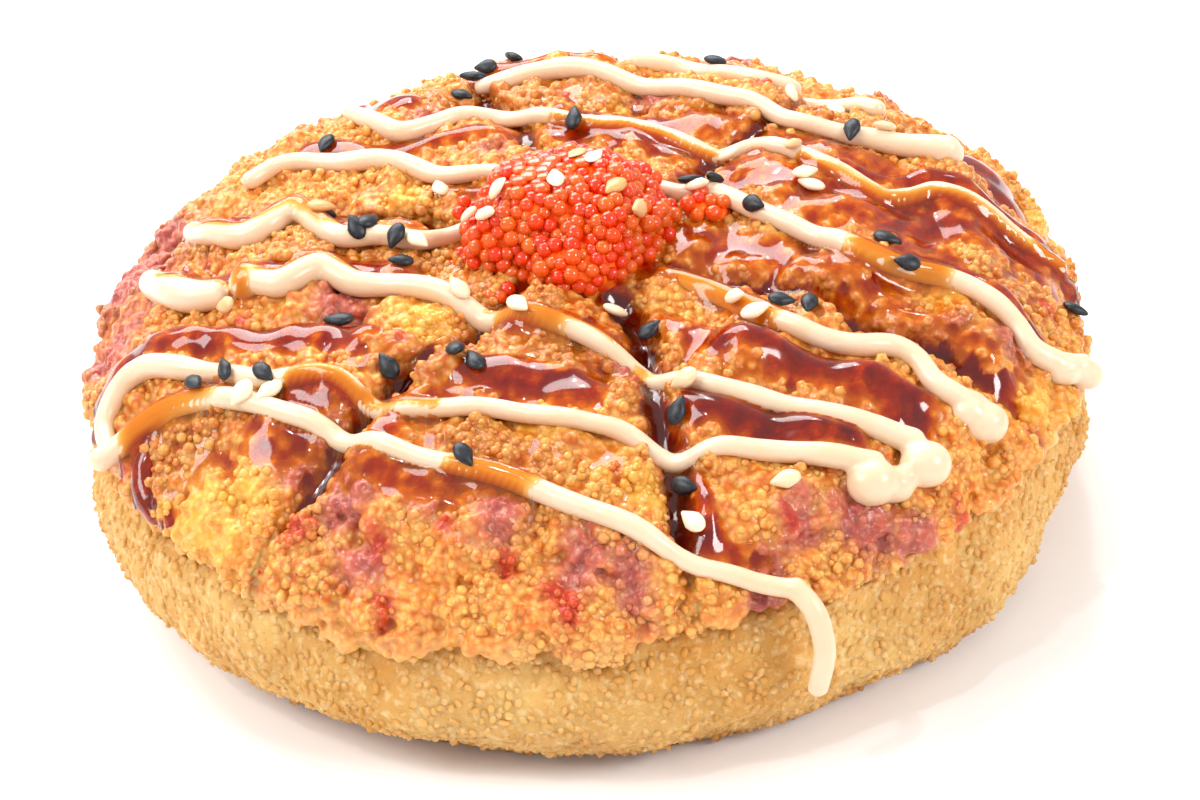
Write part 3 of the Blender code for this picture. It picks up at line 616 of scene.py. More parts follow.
def make_bed():
    """The dome: a square grid bent to a disc, wrapped round the rim and tucked under."""
    count = 312
    across = np.linspace(-1.0, 1.0, count)
    u, v = (g.ravel() for g in np.meshgrid(across, across))
    wide = np.abs(u) > np.abs(v)
    share = np.maximum(np.abs(u), np.abs(v))
    with np.errstate(divide="ignore", invalid="ignore"):
        angle = np.where(wide, (math.pi / 4) * (v / u), math.pi / 2 - (math.pi / 4) * (u / v))
    angle = np.where(wide & (u < 0), angle + math.pi, angle)
    angle = np.where(~wide & (v < 0), angle + math.pi, angle)
    angle = np.nan_to_num(angle)
    rim = rim_radius(angle)
    # the share of the grid that is the dome's top
    top = 0.885
    radius = rim * np.minimum(1.0, share / top)
    z = topping_height(radius * np.cos(angle), radius * np.sin(angle), rim)
    # past the top the grid runs down the rim's wall and under it
    wall = np.clip((share - top) / (1.0 - top), 0.0, 1.0)
    out = np.interp(wall, (0.0, 0.25, 0.5, 0.7, 1.0), (0.0, 0.9, 0.8, -1.2, -6.0))
    down = np.interp(wall, (0.0, 0.25, 0.5, 0.7, 1.0), (0.0, 1.8, 3.4, 4.0, 2.6))
    sag = 1.2 * np.maximum(0.0, np.cos(angle - math.radians(230))) ** 2
    sag -= 1.4 * np.maximum(0.0, np.cos(angle - math.radians(-65))) ** 4
    sag += 1.4 * soft_noise(on_plan(rim * np.cos(angle), rim * np.sin(angle)) / 6.0)
    tucked = wall > 0
    radius = np.where(tucked, rim + out, radius)
    z = np.where(tucked, z - down - sag * blend(0.0, 0.4, wall), z)
    flat = np.stack([radius * np.cos(angle), radius * np.sin(angle), z], axis=1)
    below = blend(0.62, 0.85, wall)
    cut = cut_depth(flat[:, 0], flat[:, 1]) * (1.0 - blend(0.1, 0.5, wall))
    points = flat + grid_normals(flat, count) * (bed_relief(flat) * (1.0 - below))[:, None]
    points[:, 2] -= cut
    bare = 0.35 * spots(points, TUNA_PATCHES, 0.7)
    values = {"crumb_density": (1.0 - bare) * (1.0 - 0.75 * blend(2.0, 5.0, cut)) * (1.0 - below)}
    faces = []
    for start in range(0, count * (count - 1), count):
        faces.extend((start + i, start + i + 1, start + count + i + 1, start + count + i)
                     for i in range(count - 1))
    ring = list(range(count)) + [r * count + count - 1 for r in range(1, count)]
    ring += [(count - 1) * count + i for i in range(count - 2, -1, -1)]
    ring += [r * count for r in range(count - 2, 0, -1)]
    faces.append(tuple(reversed(ring)))
    return mesh_piece("bare_bed", points, faces, values)


def fused(name, items, voxel, rounds):
    """Pieces run together into one skin, as crumbs stuck in batter are."""
    points, faces = gathered(items)
    return run_together(mesh_piece(name, points, faces), None, voxel, 0.5, rounds)


def slices_of(bed, finish):
    """The bed parted along its knife cuts into closed slices, their hidden walls kept crisp."""
    through = Vector((CUT_CENTRE[0], CUT_CENTRE[1], 0.0)) * MM
    turns = sorted(cut[0] for cut in CUTS)
    made = []
    for number, (start, stop) in enumerate(zip(turns, turns[1:] + turns[:1])):
        shape = bmesh.new()
        shape.from_mesh(bed.data)
        for turn, side in ((math.radians(start), 1), (math.radians(stop), -1)):
            inward = Vector((-math.sin(turn), math.cos(turn), 0.0)) * side
            every = shape.verts[:] + shape.edges[:] + shape.faces[:]
            cut = bmesh.ops.bisect_plane(shape, geom=every, plane_co=through, plane_no=inward, clear_inner=True)
            rim = [part for part in cut["geom_cut"] if isinstance(part, bmesh.types.BMEdge)]
            for edge in rim:
                edge.smooth = False
            bmesh.ops.triangle_fill(shape, edges=rim, use_beauty=True, normal=-inward)
        bmesh.ops.recalc_face_normals(shape, faces=shape.faces)
        mesh = bpy.data.meshes.new(f"tuna_slice_{number + 1}")
        shape.to_mesh(mesh)
        shape.free()
        mesh.materials.append(finish)
        made.append(show(mesh.name, mesh))
    removed([bed])
    return made


def held_in(item):
    """Bring whatever pokes out of the solids' box gently back inside it."""
    places = points_of(item.data)
    low, high = (np.array(corner) / MM for corner in cad_box)
    soft = 1.2
    over = np.clip(places - (high - soft), 0.0, None)
    under = np.clip((low + soft) - places, 0.0, None)
    under[:, 2] = 0.0
    places += (soft * (1.0 - np.exp(-over / soft)) - over) - (soft * (1.0 - np.exp(-under / soft)) - under)
    places[:, 2] = np.maximum(places[:, 2], 0.0)
    item.data.vertices.foreach_set("co", (places * MM).astype(np.float32).ravel())
    item.data.update()


# ---- the rice cake ---------------------------------------------------------------------

def cake_outline(step):
    """The cake's half section from under the topping, down its side, to inside its foot."""
    span = BASE_RADIUS - SHOULDER_RADIUS
    corners = np.array([
        (SHOULDER_RADIUS - 8.0, BASE_HEIGHT), (SHOULDER_RADIUS, BASE_HEIGHT),
        (SHOULDER_RADIUS + 0.45 * span, BASE_HEIGHT - 1.2),
        (SHOULDER_RADIUS + 0.80 * span, BASE_HEIGHT - 3.7),
        (BASE_RADIUS, BASE_HEIGHT - 8.0), (BASE_RADIUS, 9.0), (BASE_RADIUS - 2.5, 5.0),
        (BASE_RADIUS - 5.6, 1.6), (FOOT_RADIUS, 0.0), (FOOT_RADIUS - 9.0, 0.0),
    ])
    fine = smooth_path(corners, 0.5)
    walked = np.concatenate([[0.0], np.cumsum(np.linalg.norm(np.diff(fine, axis=0), axis=1))])
    even = np.arange(0.0, walked[-1], step)
    return np.stack([np.interp(even, walked, fine[:, 0]), np.interp(even, walked, fine[:, 1])], axis=1)


def make_rice_cake():
    """The half section swept round in fine steps, with crisp broken crumb all over its side."""
    steps = 780
    section = cake_outline(0.46)
    rows = len(section)
    every_way = np.linspace(0.0, math.tau, steps, endpoint=False)
    angle, radius = (g.ravel() for g in np.meshgrid(every_way, section[:, 0]))
    z = np.repeat(section[:, 1], steps)
    outer = blend(SHOULDER_RADIUS - 1.0, SHOULDER_RADIUS + 3.0, radius) * (1.0 - blend(17.0, 19.5, z))
    grown = radius + outer * soft_noise(np.stack([radius * np.cos(angle), radius * np.sin(angle), z], axis=1) / 9.0)
    grown -= 1.2 * outer * np.maximum(0.0, np.cos(angle - math.radians(-20))) ** 12
    grown += outer * np.maximum(0.0, np.cos(angle - math.radians(215))) ** 8 * blend(0.0, 8.0, z)
    grown += 2.6 * outer * np.maximum(0.0, np.cos(angle - math.radians(-40))) ** 60 * (1.0 - blend(4.0, 9.0, z))
    points = np.stack([grown * np.cos(angle), grown * np.sin(angle), z], axis=1)
    lean = np.gradient(section, axis=0)
    lean /= np.linalg.norm(lean, axis=1)[:, None]
    out = np.repeat(-lean[:, 1], steps)
    normal = np.stack([out * np.cos(angle), out * np.sin(angle), np.repeat(lean[:, 0], steps)], axis=1)
    bent = points + 0.7 * np.stack([waves(points, 2.0, 171 + k) for k in range(3)], axis=1)
    clump, _, clump_mark = pebbles(bent, 3.6, 113)
    grain, _, grain_mark = pebbles(bent, 1.3, 123)
    relief = 0.50 * (0.4 - clump ** 2) * (0.3 + clump_mark) + 0.50 * waves(points, 5.0, 131)
    relief += 0.22 * (0.5 - grain) * (0.2 + grain_mark) + 0.10 * waves(points, 0.9, 132) - 0.45
    shown = blend(0.0, 0.6, z) * (1.0 - blend(BASE_HEIGHT - 1.0, BASE_HEIGHT - 0.2, z))
    points += normal * (relief * shown)[:, None]
    points[:, 2] = np.where(z < 0.25, np.abs(0.10 * waves(points, 2.0, 141)), np.maximum(points[:, 2], 0.05))
    values = {
        # browner towards the bottom of the cake
        "browned": np.clip(1.0 - blend(0.3, 4.0, z) + 0.25 * waves(points, 6.0, 151), 0.0, 1.0),
        "tone": np.clip(0.5 + 0.5 * waves(points, 9.0, 161) + 0.25 * waves(points, 3.0, 162), 0.0, 1.0),
        "crumb_density": blend(0.2, 1.5, z) * (1.0 - blend(19.5, 21.5, z)),
    }
    faces = []
    for start in range(0, steps * (rows - 1), steps):
        faces.extend((start + i, start + steps + i, start + steps + (i + 1) % steps, start + (i + 1) % steps)
                     for i in range(steps))
    faces.append(tuple(range(steps)))
    faces.append(tuple((rows - 1) * steps + i for i in range(steps - 1, -1, -1)))
    return mesh_piece("rice_cake", points, faces, values)


# ---- things scattered over a surface ---------------------------------------------------

def small_shape(name, cuts, size=(1.0, 1.0, 1.0)):
    """A crumb or egg to be repeated: twenty faces, or a cube cut up and blown round. Its size is in mm."""
    shape = bmesh.new()
    if cuts:
        bmesh.ops.create_cube(shape, size=1.0)
        bmesh.ops.subdivide_edges(shape, edges=shape.edges, cuts=cuts, use_grid_fill=True)
    else:
        bmesh.ops.create_icosphere(shape, subdivisions=1, radius=1.0)
    for vert in shape.verts:
        # the tangent keeps a cube's faces even once they are round
        round_way = Vector([math.tan(c * math.pi / 2) for c in vert.co] if cuts else vert.co).normalized()
        vert.co = Vector([c * s * 0.5 * MM for c, s in zip(round_way, size)])
    return built(name, shape)


def scatter_tree():
    """Points spread over a surface, a small shape on each, knobbly and turned at random."""
    tree, given = new_tree("Scatter", (
        ("Surface", "Geometry"), ("Shape", "Object"), ("Spacing", "Float"), ("Smallest", "Float"),
        ("Largest", "Float"), ("Lift", "Float"), ("Depth spread", "Float"), ("Knobbly", "Float"),
        ("Knob size", "Float"), ("Seed", "Int"), ("Finish", "Material"),
    ), "Scattered")
    density = add(tree, "GeometryNodeInputNamedAttribute", {"Name": "crumb_density"}, data_type="FLOAT")
    spread = add(tree, "GeometryNodeDistributePointsOnFaces", {
        "Mesh": given["Surface"], "Distance Min": given["Spacing"], "Density Max": 4000000.0,
        "Density Factor": density.outputs["Attribute"], "Seed": given["Seed"],
    }, distribute_method="POISSON")
    depth = add(tree, "FunctionNodeRandomValue", {2: -1.0, 3: 1.0, "Seed": given["Seed"]}, data_type="FLOAT")
    drop = add(tree, "ShaderNodeMath", {0: depth.outputs[1], 1: given["Depth spread"], 2: given["Lift"]},
               operation="MULTIPLY_ADD")
    away = add(tree, "ShaderNodeVectorMath", {0: spread.outputs["Normal"], "Scale": drop.outputs[0]},
               operation="SCALE")
    placed = add(tree, "GeometryNodeSetPosition", {"Geometry": spread.outputs["Points"], "Offset": away.outputs[0]})
    turn = add(tree, "FunctionNodeRandomValue", {0: (0.0, 0.0, 0.0), 1: (6.28, 6.28, 6.28), "Seed": given["Seed"]},
               data_type="FLOAT_VECTOR")
    size = add(tree, "FunctionNodeRandomValue", {2: given["Smallest"], 3: given["Largest"], "Seed": given["Seed"]},
               data_type="FLOAT")
    shape = add(tree, "GeometryNodeObjectInfo", {"Object": given["Shape"]})
    grown = add(tree, "GeometryNodeInstanceOnPoints", {
        "Points": placed.outputs["Geometry"], "Instance": shape.outputs["Geometry"],
        "Rotation": turn.outputs[0], "Scale": size.outputs[1],
    })
    real = made_real(tree, grown.outputs["Instances"], 77)
    fine = add(tree, "ShaderNodeMath", {0: 1.0, 1: given["Knob size"]}, operation="DIVIDE")
    knobs = add(tree, "ShaderNodeTexNoise", {"Scale": fine.outputs[0], "Detail": 1.0})
    centred = add(tree, "ShaderNodeVectorMath", {0: knobs.outputs["Color"], 1: (0.5, 0.5, 0.5)},
                  operation="SUBTRACT")
    pushed = add(tree, "ShaderNodeVectorMath", {0: centred.outputs[0], "Scale": given["Knobbly"]},
                 operation="SCALE")
    bumpy = add(tree, "GeometryNodeSetPosition", {"Geometry": real, "Offset": pushed.outputs[0]})
    return finished(tree, bumpy.outputs["Geometry"], given)


def scatter(name, tree, surface, shape, finish, **sizes):
    """Run the tree on a copy of a surface, and keep only what it scatters. Its sizes are in mm."""
    item = show(name, surface.data.copy())
    counts = ("Seed", "Smallest", "Largest")
    sizes = {label: value if label in counts else value * MM for label, value in sizes.items()}
    node_modifier(item, tree, Shape=shape, Finish=finish, **{
        "Knobbly": 0.0, "Knob_size": MM, "Lift": 0.0, "Depth_spread": 0.0, **sizes})
    return plain_mesh(item, finish)


# ---- mayonnaise and sauce --------------------------------------------------------------

def piping_tree():
    """A round string along a curve, as thick as each point says, with round ends."""
    tree, given = new_tree("Piping", (("Path", "Geometry"), ("Sides", "Int"), ("Finish", "Material")), "String")
    circle = add(tree, "GeometryNodeCurvePrimitiveCircle", {"Resolution": given["Sides"], "Radius": 1.0})
    wide = add(tree, "GeometryNodeInputRadius")
    tube = add(tree, "GeometryNodeCurveToMesh", {
        "Curve": given["Path"], "Profile Curve": circle.outputs["Curve"], "Scale": wide.outputs[0],
        "Fill Caps": True,
    })
    ends = add(tree, "GeometryNodeCurveEndpointSelection", {"Start Size": 1, "End Size": 1})
    ball = add(tree, "GeometryNodeMeshIcoSphere", {"Radius": 1.0, "Subdivisions": 3})
    caps = add(tree, "GeometryNodeInstanceOnPoints", {
        "Points": given["Path"], "Selection": ends.outputs["Selection"],
        "Instance": ball.outputs["Mesh"], "Scale": wide.outputs[0],
    })
    joined = add(tree, "GeometryNodeJoinGeometry")
    tree.links.new(tube.outputs["Mesh"], joined.inputs[0])
    tree.links.new(caps.outputs["Instances"], joined.inputs[0])
    real = add(tree, "GeometryNodeRealizeInstances", {"Geometry": joined.outputs[0]})
    return finished(tree, real.outputs["Geometry"], given)


def piped(name, strings, tree, finish, voxel, rounds):
    """Strings of (x, y, z, half width) in mm, run together into one soft body."""
    curve = bpy.data.curves.new(name, "CURVE")
    curve.dimensions = "3D"
    for string in strings:
        spline = curve.splines.new("POLY")
        spline.points.add(len(string) - 1)
        for point, (x, y, z, half) in zip(spline.points, string):
            point.co = (x * MM, y * MM, z * MM, 1.0)
            point.radius = half * MM
    item = show(name, curve)
    node_modifier(item, tree, Sides=14, Finish=finish)
    return run_together(plain_mesh(item, finish), finish, voxel, 0.6, rounds)


# height maps, in mm: a number for each point of a square grid in plan
MAP_STEP = 0.36
MAP_HALF = 60.0
MAP_COUNT = int(2 * MAP_HALF / MAP_STEP) + 1
MAP_LINE = -MAP_HALF + MAP_STEP * np.arange(MAP_COUNT)


def surface_of(*items):
    """A search tree for looking straight down on pieces."""
    points, faces = gathered(items)
    return BVHTree.FromPolygons(points.tolist(), faces)


def look_down(tree, x, y, missing=0.0):
    """The height of what lies highest at x, y."""
    hit = tree.ray_cast(Vector((x, y, 70.0)), Vector((0, 0, -1)))
    return hit[0].z if hit[0] is not None else missing


def height_map(tree, missing=0.0):
    """The highest surface all over the plan."""
    return np.array([[look_down(tree, x, y, missing) for x in MAP_LINE] for y in MAP_LINE])


def blurred(field, sigma):
    """A map with its detail under about sigma mm smoothed away."""
    reach = int(3 * sigma / MAP_STEP) + 1
    line = np.exp(-0.5 * (np.arange(-reach, reach + 1) * MAP_STEP / sigma) ** 2)
    line /= line.sum()
    for axis in (0, 1):
        padded = np.pad(field, [(reach, reach) if k == axis else (0, 0) for k in (0, 1)], mode="edge")
        field = sum(w * np.take(padded, range(i, i + MAP_COUNT), axis=axis) for i, w in enumerate(line))
    return field


def softened(field, sigma):
    """Blurred over what is there alone, so that it doesn't sink towards the rim."""
    there = (field > LOWEST_BED).astype(float)
    return blurred(field * there, sigma) / np.maximum(blurred(there, sigma), 1e-3)


def read_map(field, x, y):
    """The map's value between its points."""
    i = np.clip((np.asarray(x) + MAP_HALF) / MAP_STEP, 0, MAP_COUNT - 1.001)
    j = np.clip((np.asarray(y) + MAP_HALF) / MAP_STEP, 0, MAP_COUNT - 1.001)
    i0, j0 = i.astype(int), j.astype(int)
    s, t = i - i0, j - j0
    return ((1 - t) * ((1 - s) * field[j0, i0] + s * field[j0, i0 + 1])
            + t * ((1 - s) * field[j0 + 1, i0] + s * field[j0 + 1, i0 + 1]))


def mayonnaise_strings(ground):
    """Each line laid over the softened ground, so that it bridges the small hollows."""
    strings = []
    for turns in MAYO_LINES:
        x, y, half = smooth_path(turns, 0.8).T
        half = half * (1.0 + 0.07 * waves(on_plan(x, y), 3.5, 201))
        z = read_map(ground, x, y)
        z = np.convolve(np.pad(z, 3, mode="edge"), np.ones(7) / 7, mode="valid") + 0.45 + 0.35 * half
        strings.append(list(zip(x, y, z, half)))
    x, y, z = smooth_path(HANGING_END, 0.8).T
    half = np.interp(np.linspace(0, 1, len(x)), (0, 0.4, 0.8, 1), (1.2, 1.25, 1.2, 1.15))
    z += (strings[-1][-1][2] - z[0]) * np.linspace(1, 0, len(z)) ** 2
    strings.append(list(zip(x, y, z, half)))
    for x, y, half in MAYO_DROPS:
        z = float(read_map(ground, x, y)) + 0.35 * half
        strings.append([(x - 0.3, y, z, half), (x + 0.3, y, z, half)])
    return strings


# what a film of sauce over the mayonnaise adds at its middle, and a thin coat of it over the crumbs
FILM_THICKNESS = 0.65
COAT_THICKNESS = 0.5
# how fast sauce falls away past its edge, and the depth past which it looks no darker
FALL = 3.0
DARKEST = 2.1


def sauce_fill(x, y):
    """How far the sauce stands above the softened ground, how much there is to spread, and its films."""
    ragged = 0.40 * waves(on_plan(x, y), 3.4, 301) + 0.12 * waves(on_plan(x, y), 1.4, 302)
    fill = np.full(len(x), -2.0)
    spread = np.full(len(x), -1.0)
    for half, thick, turns in SAUCE_RUNS:
        away, along = line_distance(x, y, smooth_path(turns, 2.0))
        wide = half * (1.02 + 0.16 * waves(on_plan(along, np.full_like(along, half)), 6.0, 303))
        share = 1.0 - ((away + ragged) / wide) ** 2
        fill = np.maximum(fill, np.where(share > 0, thick * np.abs(share) ** 0.7, share))
        if thick > 0.5:
            spread = np.maximum(spread, share)
    film = np.full(len(x), -3.0)
    for half, turns in SAUCE_FILMS:
        away, _ = line_distance(x, y, smooth_path(turns, 1.0))
        share = 1.0 - ((away + 0.6 * ragged) / (1.1 * half)) ** 2
        film = np.maximum(film, np.where(share > 0, FILM_THICKNESS * share, FALL * share))
    return fill, spread, film


def make_sauce(ground, mayo, finish):
    """A skin that levels itself between the crumbs, coats them, and climbs thinly over the mayonnaise."""
    gx, gy = np.meshgrid(MAP_LINE, MAP_LINE)
    fill, spread, film = (f.reshape(gx.shape) for f in sauce_fill(gx.ravel(), gy.ravel()))
    piled = np.maximum(ground, mayo)
    on_mayo = blurred((mayo > ground).astype(float), 0.4)
    coat = np.where(spread > 0.0, COAT_THICKNESS * np.sqrt(np.abs(spread)), FALL * spread)
    level = softened(ground, 1.1) + fill
    over_crumbs = softened(ground, 0.5) + coat
    over_mayo = np.maximum(softened(piled, 0.35) + coat - 4.0 * (1.0 - on_mayo), softened(piled, 0.45) + film)
    top = softened(np.maximum(np.maximum(level, over_crumbs), over_mayo), 0.36)
    top = np.where(film > 0.0, np.maximum(top, piled + 0.30 * blend(0.0, 0.25, film)), top)
    # a film fades out to nothing at its edge, where the mayonnaise shows through it
    filmed = blend(-0.3, 0.0, film)
    faded = 0.40 * (np.maximum(film, 0.0) / FILM_THICKNESS) ** 1.4
    beside = np.clip(fill, 0.0, DARKEST) * (1.0 - blend(0.2, 0.7, on_mayo))
    depth = (1.0 - filmed) * np.clip(top - piled, -1.0, DARKEST) + filmed * np.maximum(faded, beside)
    inside = (ground > LOWEST_BED) & (top > piled - 0.45) & ((fill > -0.7) | (film > -0.6))
    grown = inside.copy()
    for shift, axis in ((1, 0), (-1, 0), (1, 1), (-1, 1)):
        grown |= np.roll(inside, shift, axis)
    grown &= ground > LOWEST_BED
    cells = grown[:-1, :-1] & grown[1:, :-1] & grown[:-1, 1:] & grown[1:, 1:]
    return sheet_from_map("eel_sauce", gx, gy, top, depth, cells, finish)


def sheet_from_map(name, gx, gy, top, depth, cells, finish):
    """A closed skin: the top of the cells, a wall down from their edge, and a flat floor inside the bed."""
    # a height that lies inside the bed everywhere
    inside_bed = 20.5
    rows, cols = np.nonzero(cells)
    used = np.zeros(gx.shape, bool)
    for dr, dc in ((0, 0), (0, 1), (1, 0), (1, 1)):
        used[rows + dr, cols + dc] = True
    index = np.full(gx.shape, -1)
    count = int(used.sum())
    index[used] = np.arange(count)
    a, b = index[rows, cols], index[rows, cols + 1]
    c, d = index[rows + 1, cols + 1], index[rows + 1, cols]
    faces = np.stack([a, b, c, d], axis=1).tolist()
    padded = np.pad(cells, 1)
    inner = padded[1:-1, 1:-1]
    edges = []
    for p, q, near in ((a, b, padded[:-2, 1:-1]), (c, d, padded[2:, 1:-1]),
                       (d, a, padded[1:-1, :-2]), (b, c, padded[1:-1, 2:])):
        edge = (inner & ~near)[rows, cols]
        edges.append(np.stack([q[edge], p[edge]], axis=1))
    edges = np.concatenate(edges)
    rim, place = np.unique(edges, return_inverse=True)
    place = place.reshape(-1, 2) + count
    faces += np.concatenate([edges, place[:, ::-1]], axis=1).tolist()
    upper = np.stack([gx[used], gy[used], top[used]], axis=1)
    lower = upper[rim] * (1.0, 1.0, 0.0) + (0.0, 0.0, inside_bed)
    values = {"depth": np.concatenate([depth[used], np.full(len(rim), 2.0)])}
    item = mesh_piece(name, np.concatenate([upper, lower]), faces, values)
    shape = bmesh.new()
    shape.from_mesh(item.data)
    floor = [edge for edge in shape.edges if edge.is_boundary]
    bmesh.ops.triangle_fill(shape, edges=floor, use_beauty=False, normal=(0.0, 0.0, -1.0))
    shape.to_mesh(item.data)
    shape.free()
    item.data.materials.append(finish)
    return item


# ---- seeds -----------------------------------------------------------------------------

def sesame_shape():
    """A flat teardrop 3.3 mm long, pointed at one end."""
    shape = bmesh.new()
    bmesh.ops.create_uvsphere(shape, u_segments=10, v_segments=8, radius=1.0)
    for vert in shape.verts:
        y, z, x = vert.co
        narrow = 1.0 - 0.55 * float(blend(-0.2, 1.0, x))
        vert.co = Vector((x * 1.65, y * 1.12 * narrow, z * 0.6 * (0.8 + 0.2 * narrow))) * MM
    bmesh.ops.recalc_face_normals(shape, faces=shape.faces)
    return built("sesame_shape", shape)


def placing_tree():
    """One shape on each point given, turned and sized as the point says."""
    tree, given = new_tree("Place", (
        ("Places", "Geometry"), ("Shape", "Object"), ("Seed", "Int"), ("Finish", "Material")), "Seeds")
    turn = add(tree, "GeometryNodeInputNamedAttribute", {"Name": "turn"}, data_type="FLOAT_VECTOR")
    size = add(tree, "GeometryNodeInputNamedAttribute", {"Name": "size"}, data_type="FLOAT")
    shape = add(tree, "GeometryNodeObjectInfo", {"Object": given["Shape"]})
    grown = add(tree, "GeometryNodeInstanceOnPoints", {
        "Points": given["Places"], "Instance": shape.outputs["Geometry"],
        "Rotation": turn.outputs["Attribute"], "Scale": size.outputs["Attribute"],
    })
    return finished(tree, made_real(tree, grown.outputs["Instances"], given["Seed"]), given)


def sown(name, tree, shape, finish, places, below, ground, seed):
    """Seeds dropped on whatever lies under them, tilted as it slopes and turned any way."""
    rng = np.random.default_rng(seed)
    # how far round it a seed feels the slope, and where it may touch
    reach = 1.5
    beside = (-0.7, 0.0, 0.7)
    spots_mm, turns, sizes = [], [], []
    for x, y in places:
        slope_x = float(read_map(ground, x + reach, y) - read_map(ground, x - reach, y))
        slope_y = float(read_map(ground, x, y + reach) - read_map(ground, x, y - reach))
        turn = Vector((-slope_x, -slope_y, 2 * reach)).to_track_quat("Z", "Y").to_euler()
        turn.rotate_axis("Z", float(rng.uniform(0.0, math.tau)))
        turn.rotate_axis("Y", float(rng.uniform(-0.3, 0.3)))
        turn.rotate_axis("X", float(rng.uniform(-0.4, 0.4)))
        highest = max(look_down(below, x + dx, y + dy, 20.0) for dx in beside for dy in beside)
        spots_mm.append((x * MM, y * MM, (highest + 0.15) * MM))
        turns += list(turn)
        sizes.append(float(rng.uniform(0.9, 1.08)))
    mesh = bpy.data.meshes.new(name)
    mesh.from_pydata(spots_mm, [], [])
    mesh.attributes.new("turn", "FLOAT_VECTOR", "POINT")
    mesh.attributes.new("size", "FLOAT", "POINT")
    mesh.attributes["turn"].data.foreach_set("vector", turns)
    mesh.attributes["size"].data.foreach_set("value", sizes)
    item = show(name, mesh)
    node_modifier(item, tree, Shape=shape, Seed=seed, Finish=finish)
    return plain_mesh(item, finish)


# ---- roe -------------------------------------------------------------------------------

def make_roe_core(ground):
    """The mound that the eggs lie on, and the few that have rolled off it."""
    shape = bmesh.new()
    x0, y0 = HEAP_CENTRE
    mounds = [(x0, y0, (HEAP_WIDTH / 2 - 1.3, HEAP_DEPTH / 2 - 1.3, HEAP_HEIGHT - 0.1), 5, 1.2)]
    mounds += [(x, y, (r, r, r), 3, 0.3) for x, y, r in LOOSE_EGGS]
    shown = []
    for x, y, half, detail, sunk in mounds:
        seat = float(read_map(ground, x, y)) - sunk
        ball = bmesh.ops.create_icosphere(shape, subdivisions=detail, radius=1.0)["verts"]
        for vert in ball:
            rough = 1.0 + 0.20 * noise.noise(vert.co * 1.9 + Vector((5.0, 1.0, 2.0)))
            rough += 0.06 * noise.noise(vert.co * 4.0 + Vector((x, y, 0.0)))
            vert.co = Vector([c * h * rough for c, h in zip(vert.co, half)]) + Vector((x, y, seat))
            shown.append(1.0 if vert.co.z > seat + 0.2 else 0.0)
            vert.co *= MM
    core = built("roe_core", shape)
    paint(core, {"crumb_density": shown})
    return core


# ---- finishes --------------------------------------------------------------------------

def new_finish(name, glow=None, **sockets):
    """A Principled material, its node tree, and its surface node. Light wanders in it by colour as glow says."""
    material = bpy.data.materials.new(name)
    material.use_nodes = True
    tree = material.node_tree
    surface = tree.nodes["Principled BSDF"]
    if glow:
        surface.inputs["Subsurface Radius"].default_value = glow
    for label, value in sockets.items():
        surface.inputs[label.replace("_", " ")].default_value = value
    return material, tree, surface


def painted(tree, label):
    """The number painted on the mesh under this name."""
    return add(tree, "ShaderNodeAttribute", attribute_name=label).outputs["Fac"]


def coats(tree, first, *over):
    """Colours laid over the first in turn, each by its share: a socket, or a painted number and its most."""
    colour = ink(first)
    for share, code in over:
        if isinstance(share, tuple):
            label, most = share
            share = add(tree, "ShaderNodeMath", {0: painted(tree, label), 1: most}, operation="MULTIPLY").outputs[0]
        laid = code if isinstance(code, bpy.types.NodeSocket) else ink(code)
        colour = add(tree, "ShaderNodeMix", {0: share, 6: colour, 7: laid}, data_type="RGBA").outputs[2]
    return colour


def swell(tree, size, low=0.35, high=0.65, most=1.0):
    """Noise with swells about size mm across, spread over 0 to most."""
    place = add(tree, "ShaderNodeTexCoord").outputs["Object"]
    made = add(tree, "ShaderNodeTexNoise", {"Vector": place, "Scale": 1.0 / (size * MM), "Detail": 3.0})
    return add(tree, "ShaderNodeMapRange", {"Value": made.outputs["Fac"], "From Min": low, "From Max": high,
                                            "To Max": most}).outputs[0]


def beaded(tree, size, most=1.0):
    """Packed round grains about size mm across: most at the middle of each, 0 between them."""
    place = add(tree, "ShaderNodeTexCoord").outputs["Object"]
    cells = add(tree, "ShaderNodeTexVoronoi", {"Vector": place, "Scale": 1.0 / (size * MM)})
    return add(tree, "ShaderNodeMapRange", {"Value": cells.outputs["Distance"], "From Min": 0.75, "From Max": 0.05,
                                            "To Max": most}).outputs[0]


def bumped(tree, surface, size, strength, depth, height=None):
    """Relief too fine for the mesh, depth mm deep: soft noise about size mm across, or the height given."""
    if height is None:
        place = add(tree, "ShaderNodeTexCoord").outputs["Object"]
        swells = add(tree, "ShaderNodeTexNoise", {"Vector": place, "Scale": 1.0 / (size * MM), "Detail": 3.0})
        height = swells.outputs["Fac"]
    bump = add(tree, "ShaderNodeBump", {"Strength": strength, "Distance": depth * MM, "Height": height})
    tree.links.new(bump.outputs["Normal"], surface.inputs["Normal"])


